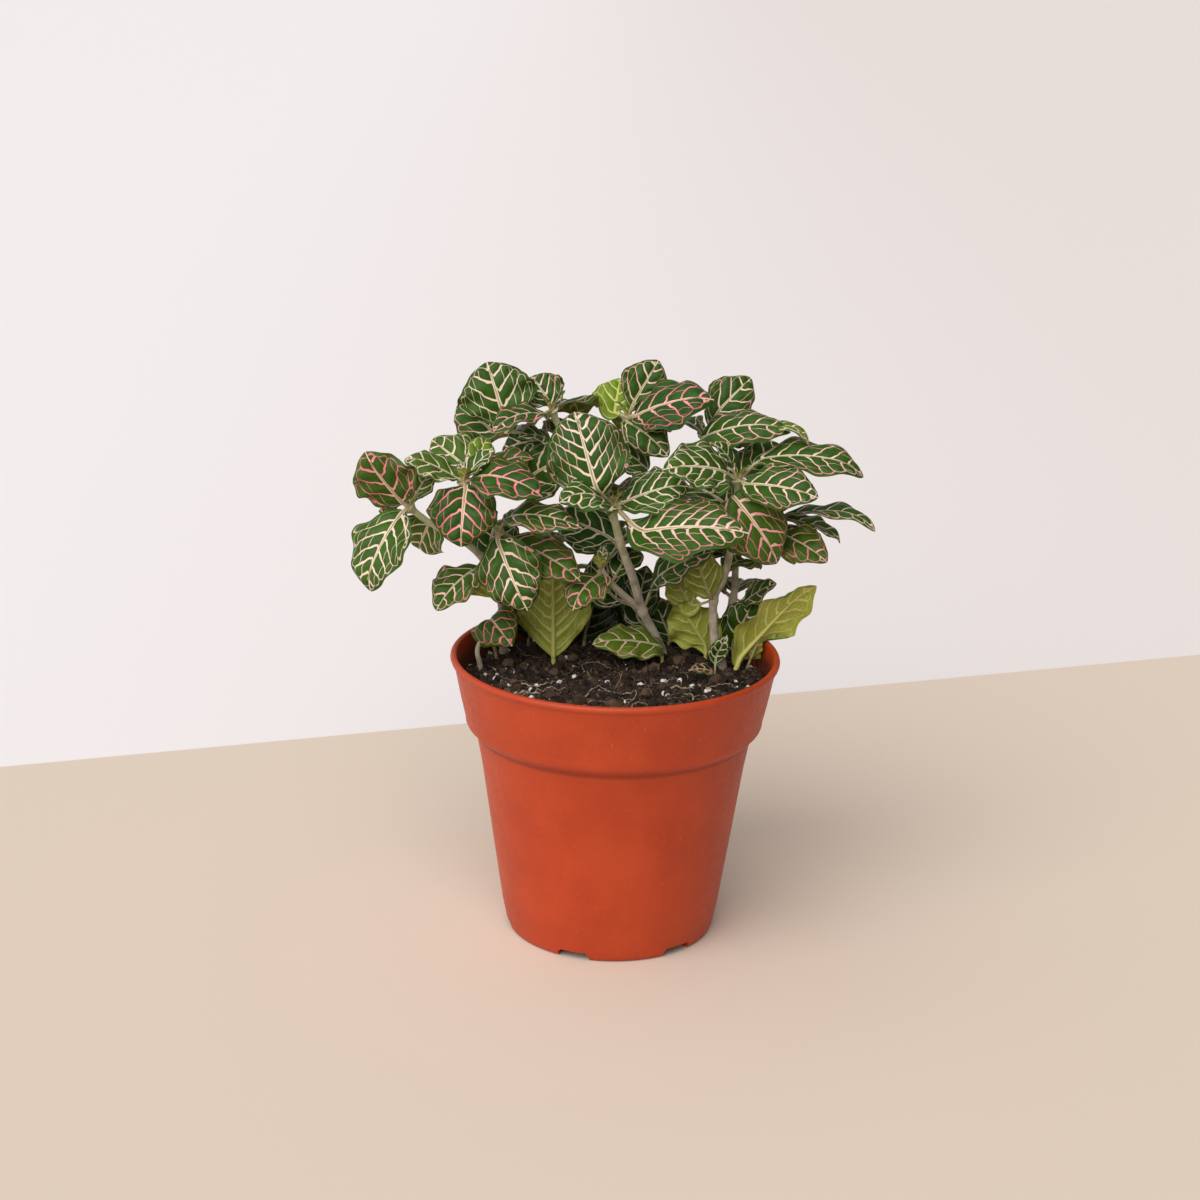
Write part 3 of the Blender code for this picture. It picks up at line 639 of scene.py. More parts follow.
def store(mesh, name, values):
    """A vector for each vertex, for the material to read."""
    layer = mesh.attributes.new(name, "FLOAT_VECTOR", "POINT")
    layer.data.foreach_set("vector", np.asarray(values, np.float32).ravel())


def smooth_all(mesh, angle=None):
    mesh.polygons.foreach_set("use_smooth", np.ones(len(mesh.polygons), bool))
    if angle is not None:
        mesh.set_sharp_from_angle(angle=math.radians(angle))
    mesh.update()


def grid_faces(rows, columns, first=0, closed=False, flip=False):
    """Quads of a grid of points numbered row by row. A closed grid joins its last column to its first."""
    last = columns if closed else columns - 1
    row, column = np.meshgrid(np.arange(rows - 1), np.arange(last), indexing="ij")
    beside = (column + 1) % columns
    quads = np.stack([
        row * columns + column, row * columns + beside,
        (row + 1) * columns + beside, (row + 1) * columns + column,
    ], axis=-1).reshape(-1, 4) + first
    return quads[:, ::-1] if flip else quads


def turned(name, profile, steps):
    """A (radius, height) profile in millimetres, turned round Z."""
    mesh = bpy.data.meshes.new(name + "_profile")
    points = [(radius * MM, 0, height * MM) for radius, height in profile]
    mesh.from_pydata(points, [(i, i + 1) for i in range(len(points) - 1)], [])
    turning = linked(name + "_turning", mesh)
    screw = turning.modifiers.new("turn", "SCREW")
    screw.steps = steps
    screw.render_steps = steps
    screw.use_merge_vertices = True
    screw.merge_threshold = 0.01 * MM
    return turning


def applied_mesh(obj):
    """The object's evaluated mesh. The object itself goes."""
    graph = bpy.context.evaluated_depsgraph_get()
    mesh = bpy.data.meshes.new_from_object(obj.evaluated_get(graph))
    bpy.data.objects.remove(obj)
    return mesh


def smooth_path(points, per_span):
    """A Catmull-Rom curve through the points, as an array."""
    control = np.array([2 * points[0] - points[1], *points, 2 * points[-1] - points[-2]])
    pieces = []
    for i in range(1, len(control) - 2):
        t = np.linspace(0, 1, per_span, endpoint=False)[:, None]
        a, b, c, d = control[i - 1:i + 3]
        pieces.append(0.5 * (2 * b + (c - a) * t + (2 * a - 5 * b + 4 * c - d) * t ** 2
                             + (3 * b - 3 * c + d - a) * t ** 3))
    pieces.append(control[-2][None])
    return np.concatenate(pieces)


def travelled(path):
    """How far along the path each of its points is."""
    return np.concatenate([[0], np.cumsum(np.linalg.norm(np.diff(path, axis=0), axis=1))])


def unit(vectors):
    return vectors / np.maximum(np.linalg.norm(vectors, axis=-1, keepdims=True), 1e-12)


def tube(path, radii, sides):
    """Rings of points round a path, with their directions outward. Frames are carried along without twist."""
    tangent = unit(np.gradient(path, axis=0))
    start = np.array((0.0, 0.0, 1.0)) if abs(tangent[0][2]) < 0.9 else np.array((1.0, 0.0, 0.0))
    side = unit(np.cross(tangent[0], start))
    sideways = []
    for way in tangent:
        side = unit(side - way * side.dot(way))
        sideways.append(side)
    sideways = np.array(sideways)
    upward = np.cross(tangent, sideways)
    angle = np.linspace(0, math.tau, sides, endpoint=False)
    outward = (sideways[:, None] * np.cos(angle)[None, :, None]
               + upward[:, None] * np.sin(angle)[None, :, None])
    rings = path[:, None] + outward * np.asarray(radii).reshape(len(path), -1, 1)
    return rings, outward


def tube_faces(rows, sides, first=0):
    """Quads of a tube's skin, and its two caps as lists."""
    quads = grid_faces(rows, sides, first, closed=True).tolist()
    start_cap = list(range(first, first + sides))[::-1]
    end_cap = list(range(first + (rows - 1) * sides, first + rows * sides))
    return quads + [start_cap, end_cap]


# ---- the pot ---------------------------------------------------------------------------------------------


def build_pot(material):
    profile = (*POT_OUTSIDE, (0.0, 0.0), (0.0, POT_FLOOR), *POT_INSIDE, POT_OUTSIDE[0])
    mesh = applied_mesh(turned("pot", profile, POT_STEPS))
    work = bmesh.new()
    work.from_mesh(mesh)
    bmesh.ops.remove_doubles(work, verts=work.verts, dist=0.001 * MM)
    bmesh.ops.recalc_face_normals(work, faces=work.faces)
    work.to_mesh(mesh)
    work.free()
    pot = linked("pot_uncut", mesh)
    cutters = [notch_cutter(index) for index in range(NOTCH_COUNT)]
    for cutter in cutters:
        cut = pot.modifiers.new(cutter.name, "BOOLEAN")
        cut.operation = "DIFFERENCE"
        cut.solver = "EXACT"
        cut.object = cutter
    shell = applied_mesh(pot)
    for cutter in cutters:
        bpy.data.objects.remove(cutter)
    smooth_all(shell, 50)
    add_piece("pot_shell", shell, material, "terracotta_plastic", "pot")


def notch_cutter(index):
    """A block with rounded upper edges, placed across the pot's foot."""
    work = bmesh.new()
    bmesh.ops.create_cube(work, size=1)
    bmesh.ops.scale(work, vec=(NOTCH_OUTER - NOTCH_INNER, NOTCH_WIDTH, 2 * NOTCH_TOP), verts=work.verts)
    upper = [
        edge for edge in work.edges
        if all(corner.co.z > 0 for corner in edge.verts)
        and abs(edge.verts[0].co.x - edge.verts[1].co.x) > MM
    ]
    bmesh.ops.bevel(work, geom=upper, offset=0.8 * MM, segments=3, affect="EDGES")
    angle = NOTCH_FIRST_ANGLE + index * math.tau / NOTCH_COUNT
    place = Matrix.Rotation(angle, 4, "Z") @ Matrix.Translation(((NOTCH_INNER + NOTCH_OUTER) / 2, 0, 0))
    bmesh.ops.transform(work, matrix=place, verts=work.verts)
    mesh = bpy.data.meshes.new(f"notch_{index}")
    work.to_mesh(mesh)
    work.free()
    return linked(f"notch_{index}", mesh)


# ---- the compost -----------------------------------------------------------------------------------------


def soil_height(x, y):
    """The compost's top: the CAD's swells with lumps and crumbs on them, in metres."""
    u, v = x / MM, y / MM
    swell = math.sin(0.31 * u + 0.9) * math.cos(0.27 * v - 0.4) + 0.6 * math.sin(0.17 * u - 0.33 * v + 2.1)
    lump = noise.noise(Vector((u * 0.16, v * 0.16, 3.1)))
    crumb = noise.noise(Vector((u * 0.55, v * 0.55, 8.7)))
    fine = noise.noise(Vector((u * 1.6, v * 1.6, 1.3)))
    return SOIL_TOP + (0.7 * swell + 2.0 * lump + 1.1 * crumb + 0.45 * fine) * MM


def build_soil(material):
    angles = np.linspace(0, math.tau, SOIL_SECTORS, endpoint=False)
    circle = np.stack([np.cos(angles), np.sin(angles)], axis=-1)
    points = [(0.0, 0.0, soil_height(0.0, 0.0))]
    for radius in SOIL_RADIUS * np.linspace(0.004, 1, SOIL_RINGS):
        points += [(x, y, soil_height(x, y)) for x, y in (circle * radius).tolist()]
    for radius, height in SOIL_SIDE:
        points += [(x, y, height * MM) for x, y in (circle * radius * MM).tolist()]
    around = SOIL_RINGS + len(SOIL_SIDE)
    faces = [(0, 1 + i, 1 + (i + 1) % SOIL_SECTORS) for i in range(SOIL_SECTORS)]
    faces += grid_faces(around, SOIL_SECTORS, 1, closed=True, flip=True).tolist()
    faces.append(list(range(1 + (around - 1) * SOIL_SECTORS, 1 + around * SOIL_SECTORS))[::-1])
    mesh = mesh_of("compost", [points], faces)
    mesh.validate()
    smooth_all(mesh, 60)
    add_piece("compost_bed", mesh, material, "compost", "soil")


def pebble_template(subdivisions):
    work = bmesh.new()
    bmesh.ops.create_icosphere(work, subdivisions=subdivisions, radius=1)
    points = np.array([v.co for v in work.verts])
    faces = np.array([[v.index for v in f.verts] for f in work.faces])
    work.free()
    return points, faces


def scatter_lumps(name, count, sizes, squash, seed, subdivisions, material, slot, sink=0.35, rough=0.28):
    """Many small lumps lying on the compost, each of its own shape, as one piece."""
    random = np.random.RandomState(seed)
    ball, ball_faces = pebble_template(subdivisions)
    points, faces, shades = [], [], []
    for _ in range(count):
        radius = LUMP_REACH * math.sqrt(random.rand())
        angle = random.rand() * math.tau
        x, y = radius * math.cos(angle), radius * math.sin(angle)
        size = sizes[0] + (sizes[1] - sizes[0]) * random.rand() ** 2.2
        stretch = np.array((1.0, random.uniform(0.6, 1.0), random.uniform(squash, 1.0))) * size * MM
        spin = Matrix.Rotation(random.rand() * math.tau, 3, "Z")
        spin = spin @ Matrix.Rotation(random.uniform(-0.6, 0.6), 3, "X")
        bumps = 1 + rough * random.uniform(-1, 1, len(ball))[:, None]
        lump = (ball * bumps * stretch) @ np.array(spin).T
        lump += (x, y, soil_height(x, y) + size * MM * (squash - sink))
        if np.hypot(lump[:, 0], lump[:, 1]).max() >= LUMP_LIMIT:
            continue
        faces.append(ball_faces + len(ball) * len(points))
        points.append(lump)
        shades.append(np.full((len(ball), 3), random.rand()))
    mesh = mesh_of(name, points, np.concatenate(faces).tolist())
    store(mesh, "shade", np.concatenate(shades))
    smooth_all(mesh, 50)
    add_piece(name, mesh, material, slot)


def lying_path(x, y, heading, length, bend, random, lift):
    """A thin thing lying on the compost from a place, wandering as it goes."""
    path = []
    steps = max(6, int(length / 0.8))
    for step in range(steps):
        height = soil_height(x * MM, y * MM) / MM
        rise = lift * math.sin(math.pi * step / (steps - 1))
        path.append((x, y, height + 0.25 + rise))
        heading += bend * length / steps + random.uniform(-0.16, 0.16)
        x += math.cos(heading) * length / steps
        y += math.sin(heading) * length / steps
    return np.array(path)


def placed_roots():
    """Roots at given places, as (x, y, heading, length, bend, lift, thickness)."""
    return (
        (-20, -38, 1.0, 24, -0.13, 1.6, 0.34), (6, -44, 1.9, 22, -0.10, 2.2, 0.30),
        (20, -8, -0.1, 26, 0.03, 0.6, 0.38), (30, -2, -1.3, 22, 0.02, 0.8, 0.42),
        (-34, -8, -0.6, 20, 0.05, 0.8, 0.34), (-30, -18, 0.3, 16, 0.02, 1.2, 0.30),
        (-12, -22, 0.9, 16, -0.1, 2.4, 0.26), (2, -16, 0.4, 14, -0.18, 2.8, 0.24),
        (26, -26, 1.2, 18, 0.08, 0.9, 0.30), (-38, -24, 0.75, 14, 0.02, 1.6, 0.70),
        (-37, -25, 0.95, 13, -0.02, 0.9, 0.45),
    )


def strewn_roots(random):
    """Thinner roots thrown anywhere, as (x, y, heading, length, bend, lift, thickness)."""
    strewn = []
    for _ in range(STREWN_ROOTS):
        radius = ROOT_REACH * math.sqrt(random.rand())
        angle = random.rand() * math.tau
        strewn.append((radius * math.cos(angle), radius * math.sin(angle), random.rand() * math.tau,
                       random.uniform(5, 20), random.uniform(-0.15, 0.15), random.uniform(0, 1.4),
                       random.uniform(0.06, 0.15)))
    return strewn


def build_roots(material):
    random = np.random.RandomState(SEED + 3)
    points, faces, count = [], [], 0
    for x, y, heading, length, bend, lift, thick in (*placed_roots(), *strewn_roots(random)):
        path = lying_path(x, y, heading, length, bend, random, lift)
        path = path[np.hypot(path[:, 0], path[:, 1]) < ROOT_LIMIT]
        if len(path) < 5:
            continue
        path = smooth_path(path * MM, 3)
        taper = thick * MM * np.linspace(1.0, 0.45, len(path))
        rings, _ = tube(path, taper, ROOT_SIDES)
        points.append(rings.reshape(-1, 3))
        faces += tube_faces(len(path), ROOT_SIDES, count)
        count += len(path) * ROOT_SIDES
    mesh = mesh_of("roots", points, faces)
    smooth_all(mesh)
    add_piece("loose_roots", mesh, material, "compost")


# ---- stems -----------------------------------------------------------------------------------------------


def stalk_radii(path, root_radius, crown_radius, nodes):
    """Radius along a stalk, in metres: it tapers, and swells a little where leaves grow."""
    along = travelled(path)
    share = along / along[-1]
    radii = (root_radius + share * (crown_radius - root_radius)) * MM
    for node in nodes:
        away = np.linalg.norm(path - np.array(node), axis=1)
        radii = radii * (1 + 0.30 * np.exp(-(away / (1.5 * MM)) ** 2))
    return radii, along


def build_stem(name, stalks, material, *nodes_of_cad):
    points, faces, skins, count = [], [], [], 0
    for stalk, (spine, root_radius, crown_radius) in stalks.items():
        path = smooth_path(np.array(spine, float) * MM, 14)
        nodes = [millimetres(spine[row[1]]) for row in LEAVES.values() if row[0] == stalk]
        radii, along = stalk_radii(path, root_radius, crown_radius, nodes)
        angle = np.linspace(0, math.tau, STEM_SIDES, endpoint=False)
        ridges = 1 + 0.06 * np.cos(4 * angle[None] + along[:, None] * 90)
        ridges = ridges + 0.03 * np.cos(7 * angle[None] + 1)
        rings, _ = tube(path, radii[:, None] * ridges, STEM_SIDES)
        points.append(rings.reshape(-1, 3))
        faces += tube_faces(len(path), STEM_SIDES, count)
        count += len(path) * STEM_SIDES
        height = np.clip((path[:, 2] / MM - 95) / 90, 0, 1)
        skin = np.stack(np.broadcast_arrays(np.cos(angle)[None], along[:, None], height[:, None]), axis=-1)
        skins.append(skin.reshape(-1, 3))
    mesh = mesh_of(name + "_skin", points, faces)
    store(mesh, "skin", np.concatenate(skins))
    smooth_all(mesh, 60)
    add_piece(name + "_skin", mesh, material, "stem_skin", *nodes_of_cad)


# ---- leaves ----------------------------------------------------------------------------------------------


def bezier(points, t):
    a, b, c, d = (np.array(point) for point in points)
    t = np.asarray(t)[..., None]
    s = 1 - t
    return a * s ** 3 + b * 3 * s * s * t + c * 3 * s * t * t + d * t ** 3


def outline(t):
    """Half the blade's width along it, as a share of the widest: an oval, blunter at the tip."""
    return np.sin(math.pi * np.clip(t, 0, 1) ** 0.92) ** (0.95 - 0.25 * t)


def resample(path, along, wanted):
    return np.stack([np.interp(wanted, along, path[:, axis]) for axis in range(3)], axis=-1)


def leaf_lines(row, rows):
    """The petiole's line, the blade's midrib, and the ways across and up from the midrib."""
    stalk, place, base, tip, _, face, rise_base, rise_tip, _ = row
    base, tip = millimetres(base), millimetres(tip)
    if stalk is None:
        start = Vector((*place, SOIL_TOP / MM - 2)) * MM
    else:
        start = millimetres(STALKS[stalk][0][place])
    chord = tip - base
    face = Vector(face).normalized()
    up = (face - face.project(chord)).normalized()
    blade = (base, base + chord * 0.33 + up * rise_base * MM, base + chord * 0.70 + up * rise_tip * MM, tip)
    lead = base - (blade[1] - base).normalized() * (base - start).length * 0.35
    near = bezier((start, start.lerp(base, 0.35), lead, base), np.linspace(0, 1, 40))
    path = np.concatenate([near, bezier(blade, np.linspace(0, 1, 80))[1:]])
    along = travelled(path)
    blade_start = along[len(near) - 1] * PETIOLE_SHARE
    wanted = np.linspace(blade_start, along[-1], rows)
    middle = resample(path, along, wanted)
    petiole = resample(path, along, np.linspace(0, blade_start, 12))
    tangent = unit(np.gradient(middle, axis=0))
    side = unit(np.cross(tangent, np.array(up)))
    first = int(np.searchsorted(wanted, along[len(near) - 1]))
    for index in range(first - 1, -1, -1):
        carried = side[index + 1]
        side[index] = unit(carried - tangent[index] * carried.dot(tangent[index]))
    return petiole, middle, side, unit(np.cross(side, tangent))


def kept_off_wall(points):
    """The points, with any that would be in the pot's wall pressed back inside it."""
    over = np.clip((points[..., 2] - WALL_TOP) / WALL_FADE, 0, 1)
    limit = WALL_INSIDE + over * WALL_RELEASE
    share = np.minimum(1, limit / np.maximum(np.hypot(points[..., 0], points[..., 1]), MM))
    return points * np.stack([share, share, np.ones_like(share)], axis=-1)


def blade_veins(reach, place, half, width, length, pink, random):
    """What the material has to know of each point's veins, and how far the blade swells there."""
    away = np.abs(place) * half
    widest = 0.5 * width
    veins = max(4.0, length / MM / (random.uniform(*VEIN_STEPS) * (1 + PINK_SPREAD * pink)))
    slope = VEIN_SLOPE + 2 * VEIN_ARCH * away / widest
    phase = veins * (reach - (VEIN_SLOPE * away + VEIN_ARCH * away ** 2 / widest) / length)
    phase = phase + np.where(place > 0, random.uniform(0.25, 0.75), 0.0) + random.rand()
    phase = phase + 0.10 * np.sin(reach * 9 + place * 2 + random.rand() * 6) * np.abs(place)
    spacing = length / veins / np.hypot(1, slope) / MM
    to_margin = np.minimum(half - away, (1 - reach) * length * 0.8)
    cell = np.clip(away / (1.5 * MM), 0, 1) * np.clip(to_margin / (2.0 * MM), 0, 1)
    bulge = VEIN_BULGE * (0.5 - 0.5 * np.cos(math.tau * phase)) * cell * min(1.0, width / (18 * MM))
    facts = {
        "vein": np.stack([phase, spacing, away * np.hypot(1, slope) / MM], axis=-1),
        "spot": np.stack([away / MM, to_margin / MM, reach], axis=-1),
    }
    return facts, bulge


def blade_lift(reach, place, half, width, fold, random):
    """How far each point is above the midrib's line: a fold, a droop, a wavy margin and a bent tip."""
    droop = random.uniform(0.22, 0.62)
    folded = math.sin(fold) * (np.sqrt(place ** 2 + 0.015) - 0.12)
    lift = half * (folded - droop * np.abs(place) ** 2.6 * reach)
    waves = random.uniform(2.0, 3.2)
    ripple = np.where(
        place > 0,
        np.sin(waves * math.tau * reach + random.rand() * 6),
        np.sin((waves + 0.4) * math.tau * reach + random.rand() * 6),
    )
    lift = lift + 0.075 * width * ripple * place ** 2 * outline(reach)
    return lift - random.uniform(0.02, 0.16) * width * np.clip((reach - 0.70) / 0.30, 0, 1) ** 2


def blade_grid(row, pink, random, rows, columns):
    """Points of the blade's middle sheet, its normals, and what the material needs to know of each point."""
    width = row[4] * MM * FULLNESS
    petiole, middle, side, above = leaf_lines(row, rows)
    length = travelled(middle)[-1]
    t = np.linspace(0, 1, rows)
    across = np.linspace(-1, 1, columns)
    across = np.sign(across) * np.abs(across) ** 0.9
    reach, place = np.meshgrid(t, across, indexing="ij")
    twist = math.radians(random.uniform(-16, 16)) * (t - 0.4)
    side, above = (side * np.cos(twist)[:, None] + above * np.sin(twist)[:, None],
                   above * np.cos(twist)[:, None] - side * np.sin(twist)[:, None])
    lobes = 1 + 0.045 * np.sin(reach * random.uniform(12, 18) + place * 0.8 + random.rand() * 6)
    lobes += 0.014 * np.sin(reach * random.uniform(36, 46) + place * 1.7 + random.rand() * 6)
    half = np.maximum(0.5 * width * outline(reach) * lobes, 0.04 * MM)
    facts, bulge = blade_veins(reach, place, half, width, length, pink, random)
    lift = blade_lift(reach, place, half, width, math.radians(row[-1]), random)
    lift = lift + bulge - RIB_GROOVE * np.exp(-(np.abs(place) * half / RIB_HALF_WIDTH) ** 2)
    points = middle[:, None] + side[:, None] * (place * half)[..., None] + above[:, None] * lift[..., None]
    points = kept_off_wall(points)
    normals = unit(np.cross(np.gradient(points, axis=1), np.gradient(points, axis=0)))
    normals *= np.sign((normals * above[:, None]).sum(-1, keepdims=True))
    return points, normals, facts, (reach, place), (petiole, middle, above)


def blade_faces(rows, columns):
    """Faces of the upper sheet, of the lower one and of the edge between them."""
    count = rows * columns
    faces = grid_faces(rows, columns).tolist() + grid_faces(rows, columns, count, flip=True).tolist()
    rim = [r * columns for r in range(rows)] + [(rows - 1) * columns + c for c in range(1, columns)]
    rim += [r * columns + columns - 1 for r in range(rows - 2, -1, -1)] + list(range(columns - 2, 0, -1))
    return faces + [(here, there, there + count, here + count) for here, there in zip(rim, rim[1:] + rim[:1])]


def petiole_rings(petiole, middle, above, width):
    """Rings of points along the petiole, and on under the blade as a rib that thins out and sinks in."""
    scale = min(1.15, max(0.5, width / 18))
    ribbed = middle[1:int(len(middle) * 0.88)]
    shrink = np.linspace(1, 0.2, len(ribbed))
    radii = PETIOLE_RADIUS * scale * np.concatenate([np.ones(len(petiole)), shrink])
    radii[:3] *= (1.35, 1.2, 1.08)
    depth = radii[len(petiole):] * np.linspace(0.2, 1, len(ribbed)) ** 0.3
    sunk = above[1:len(ribbed) + 1] * depth[:, None]
    rings, _ = tube(np.concatenate([petiole, ribbed - sunk]), radii, PETIOLE_SIDES)
    return rings


def flat_layout(reach, place, rings):
    """Each point's place on a flat square: upper sheet left, lower sheet right, the rib between them."""
    flat = np.zeros((2 * place.size + rings * PETIOLE_SIDES, 2))
    upper, lower, rib = np.split(flat, (place.size, 2 * place.size))
    upper[:, 0] = 0.24 + 0.22 * place.ravel()
    lower[:, 0] = 0.76 + 0.22 * place.ravel()
    upper[:, 1] = lower[:, 1] = 0.02 + 0.96 * reach.ravel()
    order = np.arange(len(rib))
    rib[:, 0] = 0.48 + 0.04 * (order % PETIOLE_SIDES) / PETIOLE_SIDES
    rib[:, 1] = 0.02 + 0.96 * (order // PETIOLE_SIDES) / rings
    return flat


def leaf_shape(name, row, look, rows=LEAF_ROWS, columns=LEAF_COLUMNS):
    """One leaf's points, faces, attributes and flat layout: upper sheet, lower sheet, petiole with rib."""
    random = np.random.RandomState(sum(ord(letter) * (i + 3) for i, letter in enumerate(name)) % 100000)
    points, normals, facts, (reach, place), lines = blade_grid(row, look[0], random, rows, columns)
    thick = BLADE_THICKNESS * np.clip((1 - np.abs(place)) * 6, 0, 1)[..., None] + 0.02 * MM
    rings = petiole_rings(*lines, row[4])
    count = rows * columns
    faces = blade_faces(rows, columns) + tube_faces(len(rings), PETIOLE_SIDES, 2 * count)
    rib = rings.reshape(-1, 3)
    total = 2 * count + len(rib)
    values = {}
    for label, fact in facts.items():
        values[label] = np.concatenate([fact.reshape(-1, 3)] * 2 + [np.zeros((len(rib), 3))])
    values["tint"] = np.tile((*look, min(1.1, max(0.55, row[4] / 20))), (total, 1))
    values["part"] = np.zeros((total, 3))
    values["part"][count:2 * count, 0] = 1.0
    values["part"][2 * count:, 1] = 1.0
    upper = (points + normals * thick / 2).reshape(-1, 3)
    lower = (points - normals * thick / 2).reshape(-1, 3)
    return np.concatenate([upper, lower, rib]), faces, values, flat_layout(reach, place, len(rings))


def add_leaves(name, shapes, material, slot, *nodes):
    """One piece of one or more leaves, each with its own square of the flat layout."""
    tiles = math.ceil(math.sqrt(len(shapes)))
    corners, faces, flats, count = [], [], [], 0
    for index, (points, its_faces, _, flat) in enumerate(shapes):
        corners.append(points)
        faces += [tuple(corner + count for corner in face) for face in its_faces]
        flats.append((flat + (index % tiles, index // tiles)) / tiles)
        count += len(points)
    mesh = mesh_of(name, corners, faces)
    for label in ("vein", "spot", "tint", "part"):
        store(mesh, label, np.concatenate([shape[2][label] for shape in shapes]))
    smooth_all(mesh, 70)
    flat = np.concatenate(flats)
    layer = mesh.uv_layers.new(name="OFBake")
    at = np.empty(len(mesh.loops), np.int32)
    mesh.loops.foreach_get("vertex_index", at)
    layer.data.foreach_set("uv", flat[at].astype(np.float32).ravel())
    add_piece(name, mesh, material, slot, *nodes)


def leaf_samples(row):
    """Spread points of a leaf's blade, for keeping leaves apart."""
    _, middle, side, _ = leaf_lines(row, 12)
    half = 0.5 * row[4] * MM * FULLNESS * outline(np.linspace(0, 1, 12))
    across = np.linspace(-0.95, 0.95, 7)
    return (middle[:, None] + side[:, None] * (across * half[:, None])[..., None])[1:].reshape(-1, 3)


def crown_rows():
    """The pair of young leaves at each stalk's end."""
    random = np.random.RandomState(SEED + 30)
    rows = []
    for name, (spine, _, _) in STALKS.items():
        crown = np.array(spine[-1], float)
        turn = random.rand() * math.pi
        for way in (turn, turn + math.pi):
            out = np.array((math.cos(way), math.sin(way), 0.0))
            size = random.uniform(5.5, 8.5)
            base = crown + out * 0.9 + (0, 0, 1.4)
            tip = base + out * size * 0.62 + (0, 0, size * 0.8)
            face = (*(-out[:2]), 0.9)
            rows.append((name, len(spine) - 1, tuple(base), tuple(tip), size * 0.52, face, 0.6, 0.5, 22))
    return rows


def nearness(spots):
    tree = KDTree(len(spots))
    for index, spot in enumerate(spots):
        tree.insert(spot, index)
    tree.balance()
    return tree


def filler_row(random):
    """A leaf at a place picked by chance, pointing backwards, and how high up its stalk it grows."""
    names = list(STALKS)
    name = names[random.randint(len(names))]
    spine = STALKS[name][0]
    place = random.randint(2, len(spine))
    node = np.array(spine[place], float)
    way = math.radians(random.uniform(15, 165))
    out = np.array((math.cos(way), math.sin(way), 0.0))
    size = random.uniform(15, 26)
    base = node + out * random.uniform(4, 9) + (0, 0, random.uniform(0, 6))
    tip = base + out * size + (0, 0, random.uniform(-12, 8))
    face = (out[0] * random.uniform(0, 1), out[1] * random.uniform(0, 1), 1.0)
    row = (name, place, tuple(base), tuple(tip), random.uniform(0.55, 0.8) * size, face, 3, 3, 12)
    return row, node[2]


def grow_fillers(placed):
    """More leaves round the back, one by one, wherever a blade has room beside those already there."""
    random = np.random.RandomState(SEED + 20)
    taken = [spot for row in placed for spot in leaf_samples(row)]
    near = nearness(taken)
    low, high = (np.array(corner) for corner in CAD_BOX)
    grown = []
    for _ in range(FILLER_TRIES):
        row, height = filler_row(random)
        if height < FILLER_LOWEST:
            continue
        spots = leaf_samples(row)
        if (spots < low + MM).any() or (spots > high - MM).any() or (spots[:, 1] < FILLER_FRONT).any():
            continue
        if any(near.find(spot)[2] < FILLER_ROOM for spot in spots):
            continue
        grown.append(row)
        taken += list(spots)
        near = nearness(taken)
    return grown


def build_leaves(material):
    slots = {entry["node"]: entry["material_slot"] for entry in frame["record"]["subparts"]}
    for name, row in LEAVES.items():
        shape = leaf_shape(name, row, LOOKS.get(name, USUAL_LOOK))
        add_leaves(name + "_blade", [shape], material, slots[name], name)
    more = [
        leaf_shape(name, row, look, MORE_ROWS, MORE_COLUMNS) for name, (row, look) in MORE_LEAVES.items()
    ]
    add_leaves("more_leaves", more, material, "leaf_green")
    crowns = [leaf_shape(f"crown_{i}", row, CROWN_LOOK, 22, 11) for i, row in enumerate(crown_rows())]
    add_leaves("crown_leaves", crowns, material, "leaf_green")
    fillers = grow_fillers([*LEAVES.values(), *(row for row, _ in MORE_LEAVES.values())])
    random = np.random.RandomState(SEED + 40)
    shapes = [
        leaf_shape(f"filler_{i}", row, (random.uniform(0, 0.8), random.uniform(0, 0.3)), 40, 21)
        for i, row in enumerate(fillers)
    ]
    add_leaves("back_leaves", shapes, material, "leaf_green")


# ---- stage -----------------------------------------------------------------------------------------------


def build_camera():
    back = Vector((0, -math.cos(CAMERA_ELEVATION), math.sin(CAMERA_ELEVATION)))
    camera = linked("camera", bpy.data.cameras.new("camera"))
    camera.data.lens = CAMERA_LENS
    camera.data.clip_end = 50
    turn = back.to_track_quat("Z", "Y").to_matrix() @ Matrix.Rotation(CAMERA_ROLL, 3, "Z")
    camera.matrix_world = Matrix.Translation(CAMERA_AIM + back * CAMERA_DISTANCE) @ turn.to_4x4()
    bpy.context.scene.camera = camera


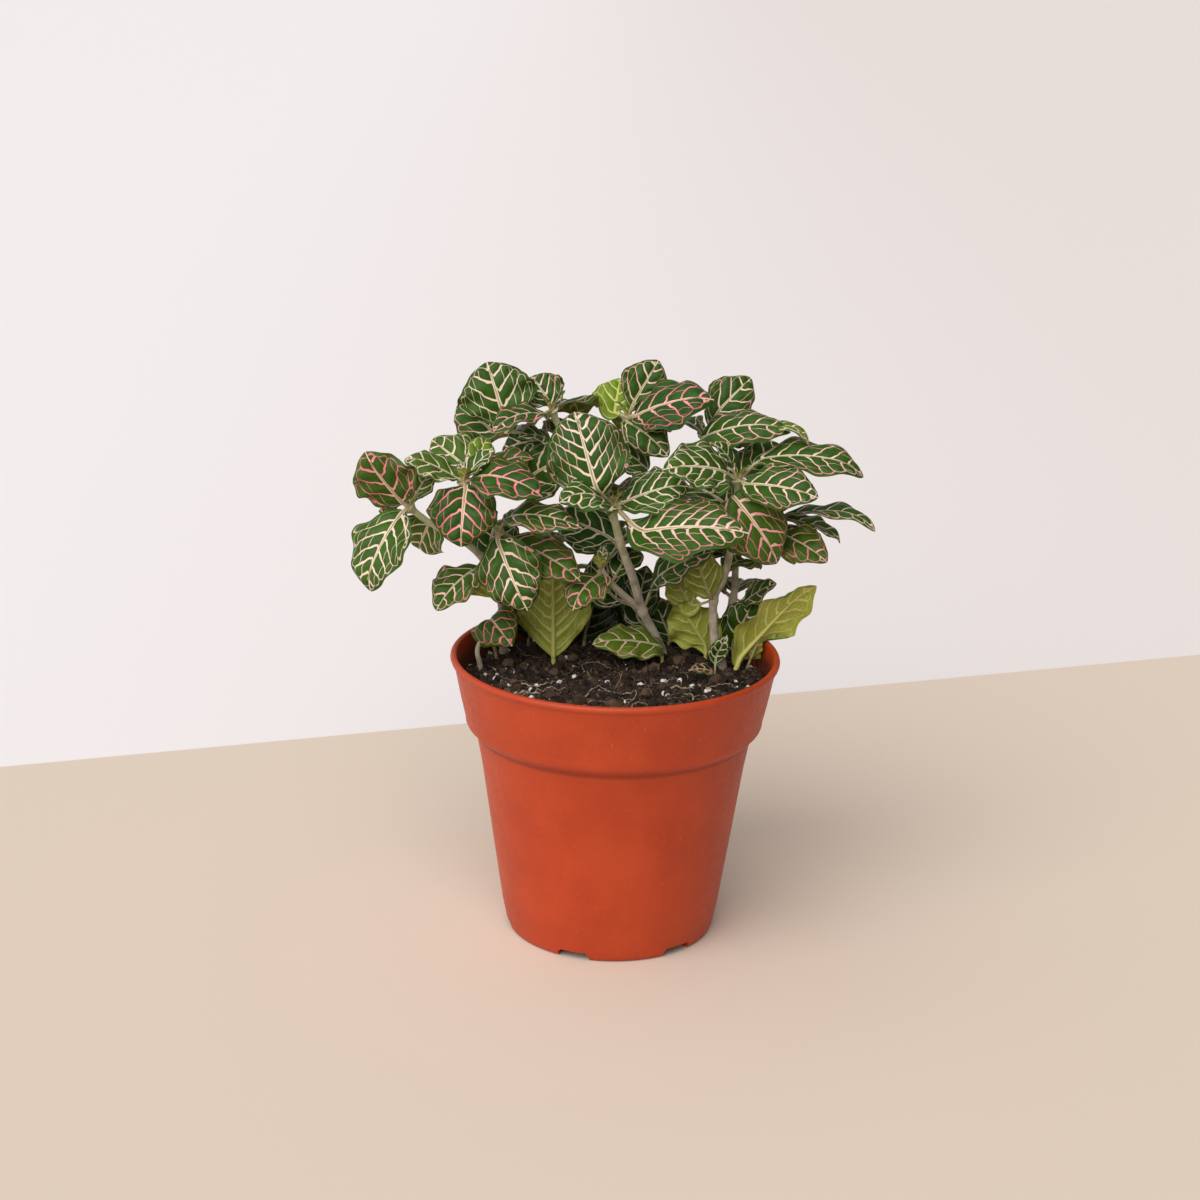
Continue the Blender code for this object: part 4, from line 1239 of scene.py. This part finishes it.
def build_floor():
    work = bmesh.new()
    bmesh.ops.create_grid(work, x_segments=1, y_segments=1, size=FLOOR_SIZE)
    mesh = bpy.data.meshes.new("floor")
    work.to_mesh(mesh)
    work.free()
    floor = linked("floor", mesh)
    floor.location.z = -FLOOR_DROP
    mesh.materials.append(floor_material())


def build_lights():
    world = bpy.data.worlds.new("studio")
    world.use_nodes = True
    background = world.node_tree.nodes["Background"]
    background.inputs["Color"].default_value = (1.0, 0.985, 0.98, 1.0)
    tree = world.node_tree
    direction = tree.nodes.new("ShaderNodeTexCoord").outputs["Generated"]
    parts = tree.nodes.new("ShaderNodeSeparateXYZ")
    fade = tree.nodes.new("ShaderNodeMapRange")
    tree.links.new(direction, parts.inputs[0])
    tree.links.new(parts.outputs[0], fade.inputs["Value"])
    for name, value in zip(("From Min", "From Max", "To Min", "To Max"), (-1.0, 1.0, *SKY_STRENGTHS)):
        fade.inputs[name].default_value = value
    tree.links.new(fade.outputs[0], background.inputs["Strength"])
    bpy.context.scene.world = world
    window = bpy.data.lights.new("window", "SUN")
    window.energy = SUN_STRENGTH
    window.angle = SUN_SPREAD
    window.color = (1.0, 0.985, 0.96)
    lamp = linked("window", window)
    lamp.rotation_euler = Vector(SUN_FROM).to_track_quat("Z", "Y").to_euler()
    bpy.context.scene.view_settings.view_transform = "Standard"


def main():
    build_camera()
    build_floor()
    build_lights()
    build_pot(pot_material())
    build_soil(soil_material())
    crumbs = crumb_material()
    scatter_lumps("crumbs_fine", 5200, (0.28, 0.95), 0.6, SEED, 1, crumbs, "compost")
    scatter_lumps("crumbs_coarse", 430, (0.8, 2.9), 0.5, SEED + 1, 2, crumbs, "compost", sink=0.3)
    perlite = perlite_material()
    scatter_lumps("perlite_grains", 190, (0.16, 1.35), 0.55, SEED + 2, 2, perlite, "compost", rough=0.30)
    build_roots(root_material())
    stem_skin = stem_material()
    for name, stalks in STEMS.items():
        build_stem(name, {stalk: STALKS[stalk] for stalk in stalks}, stem_skin, name)
    build_stem("dry_stub", {"stub": (DRY_STUB, 1.1, 0.7)}, stem_skin)
    build_leaves(leaf_material())


main()
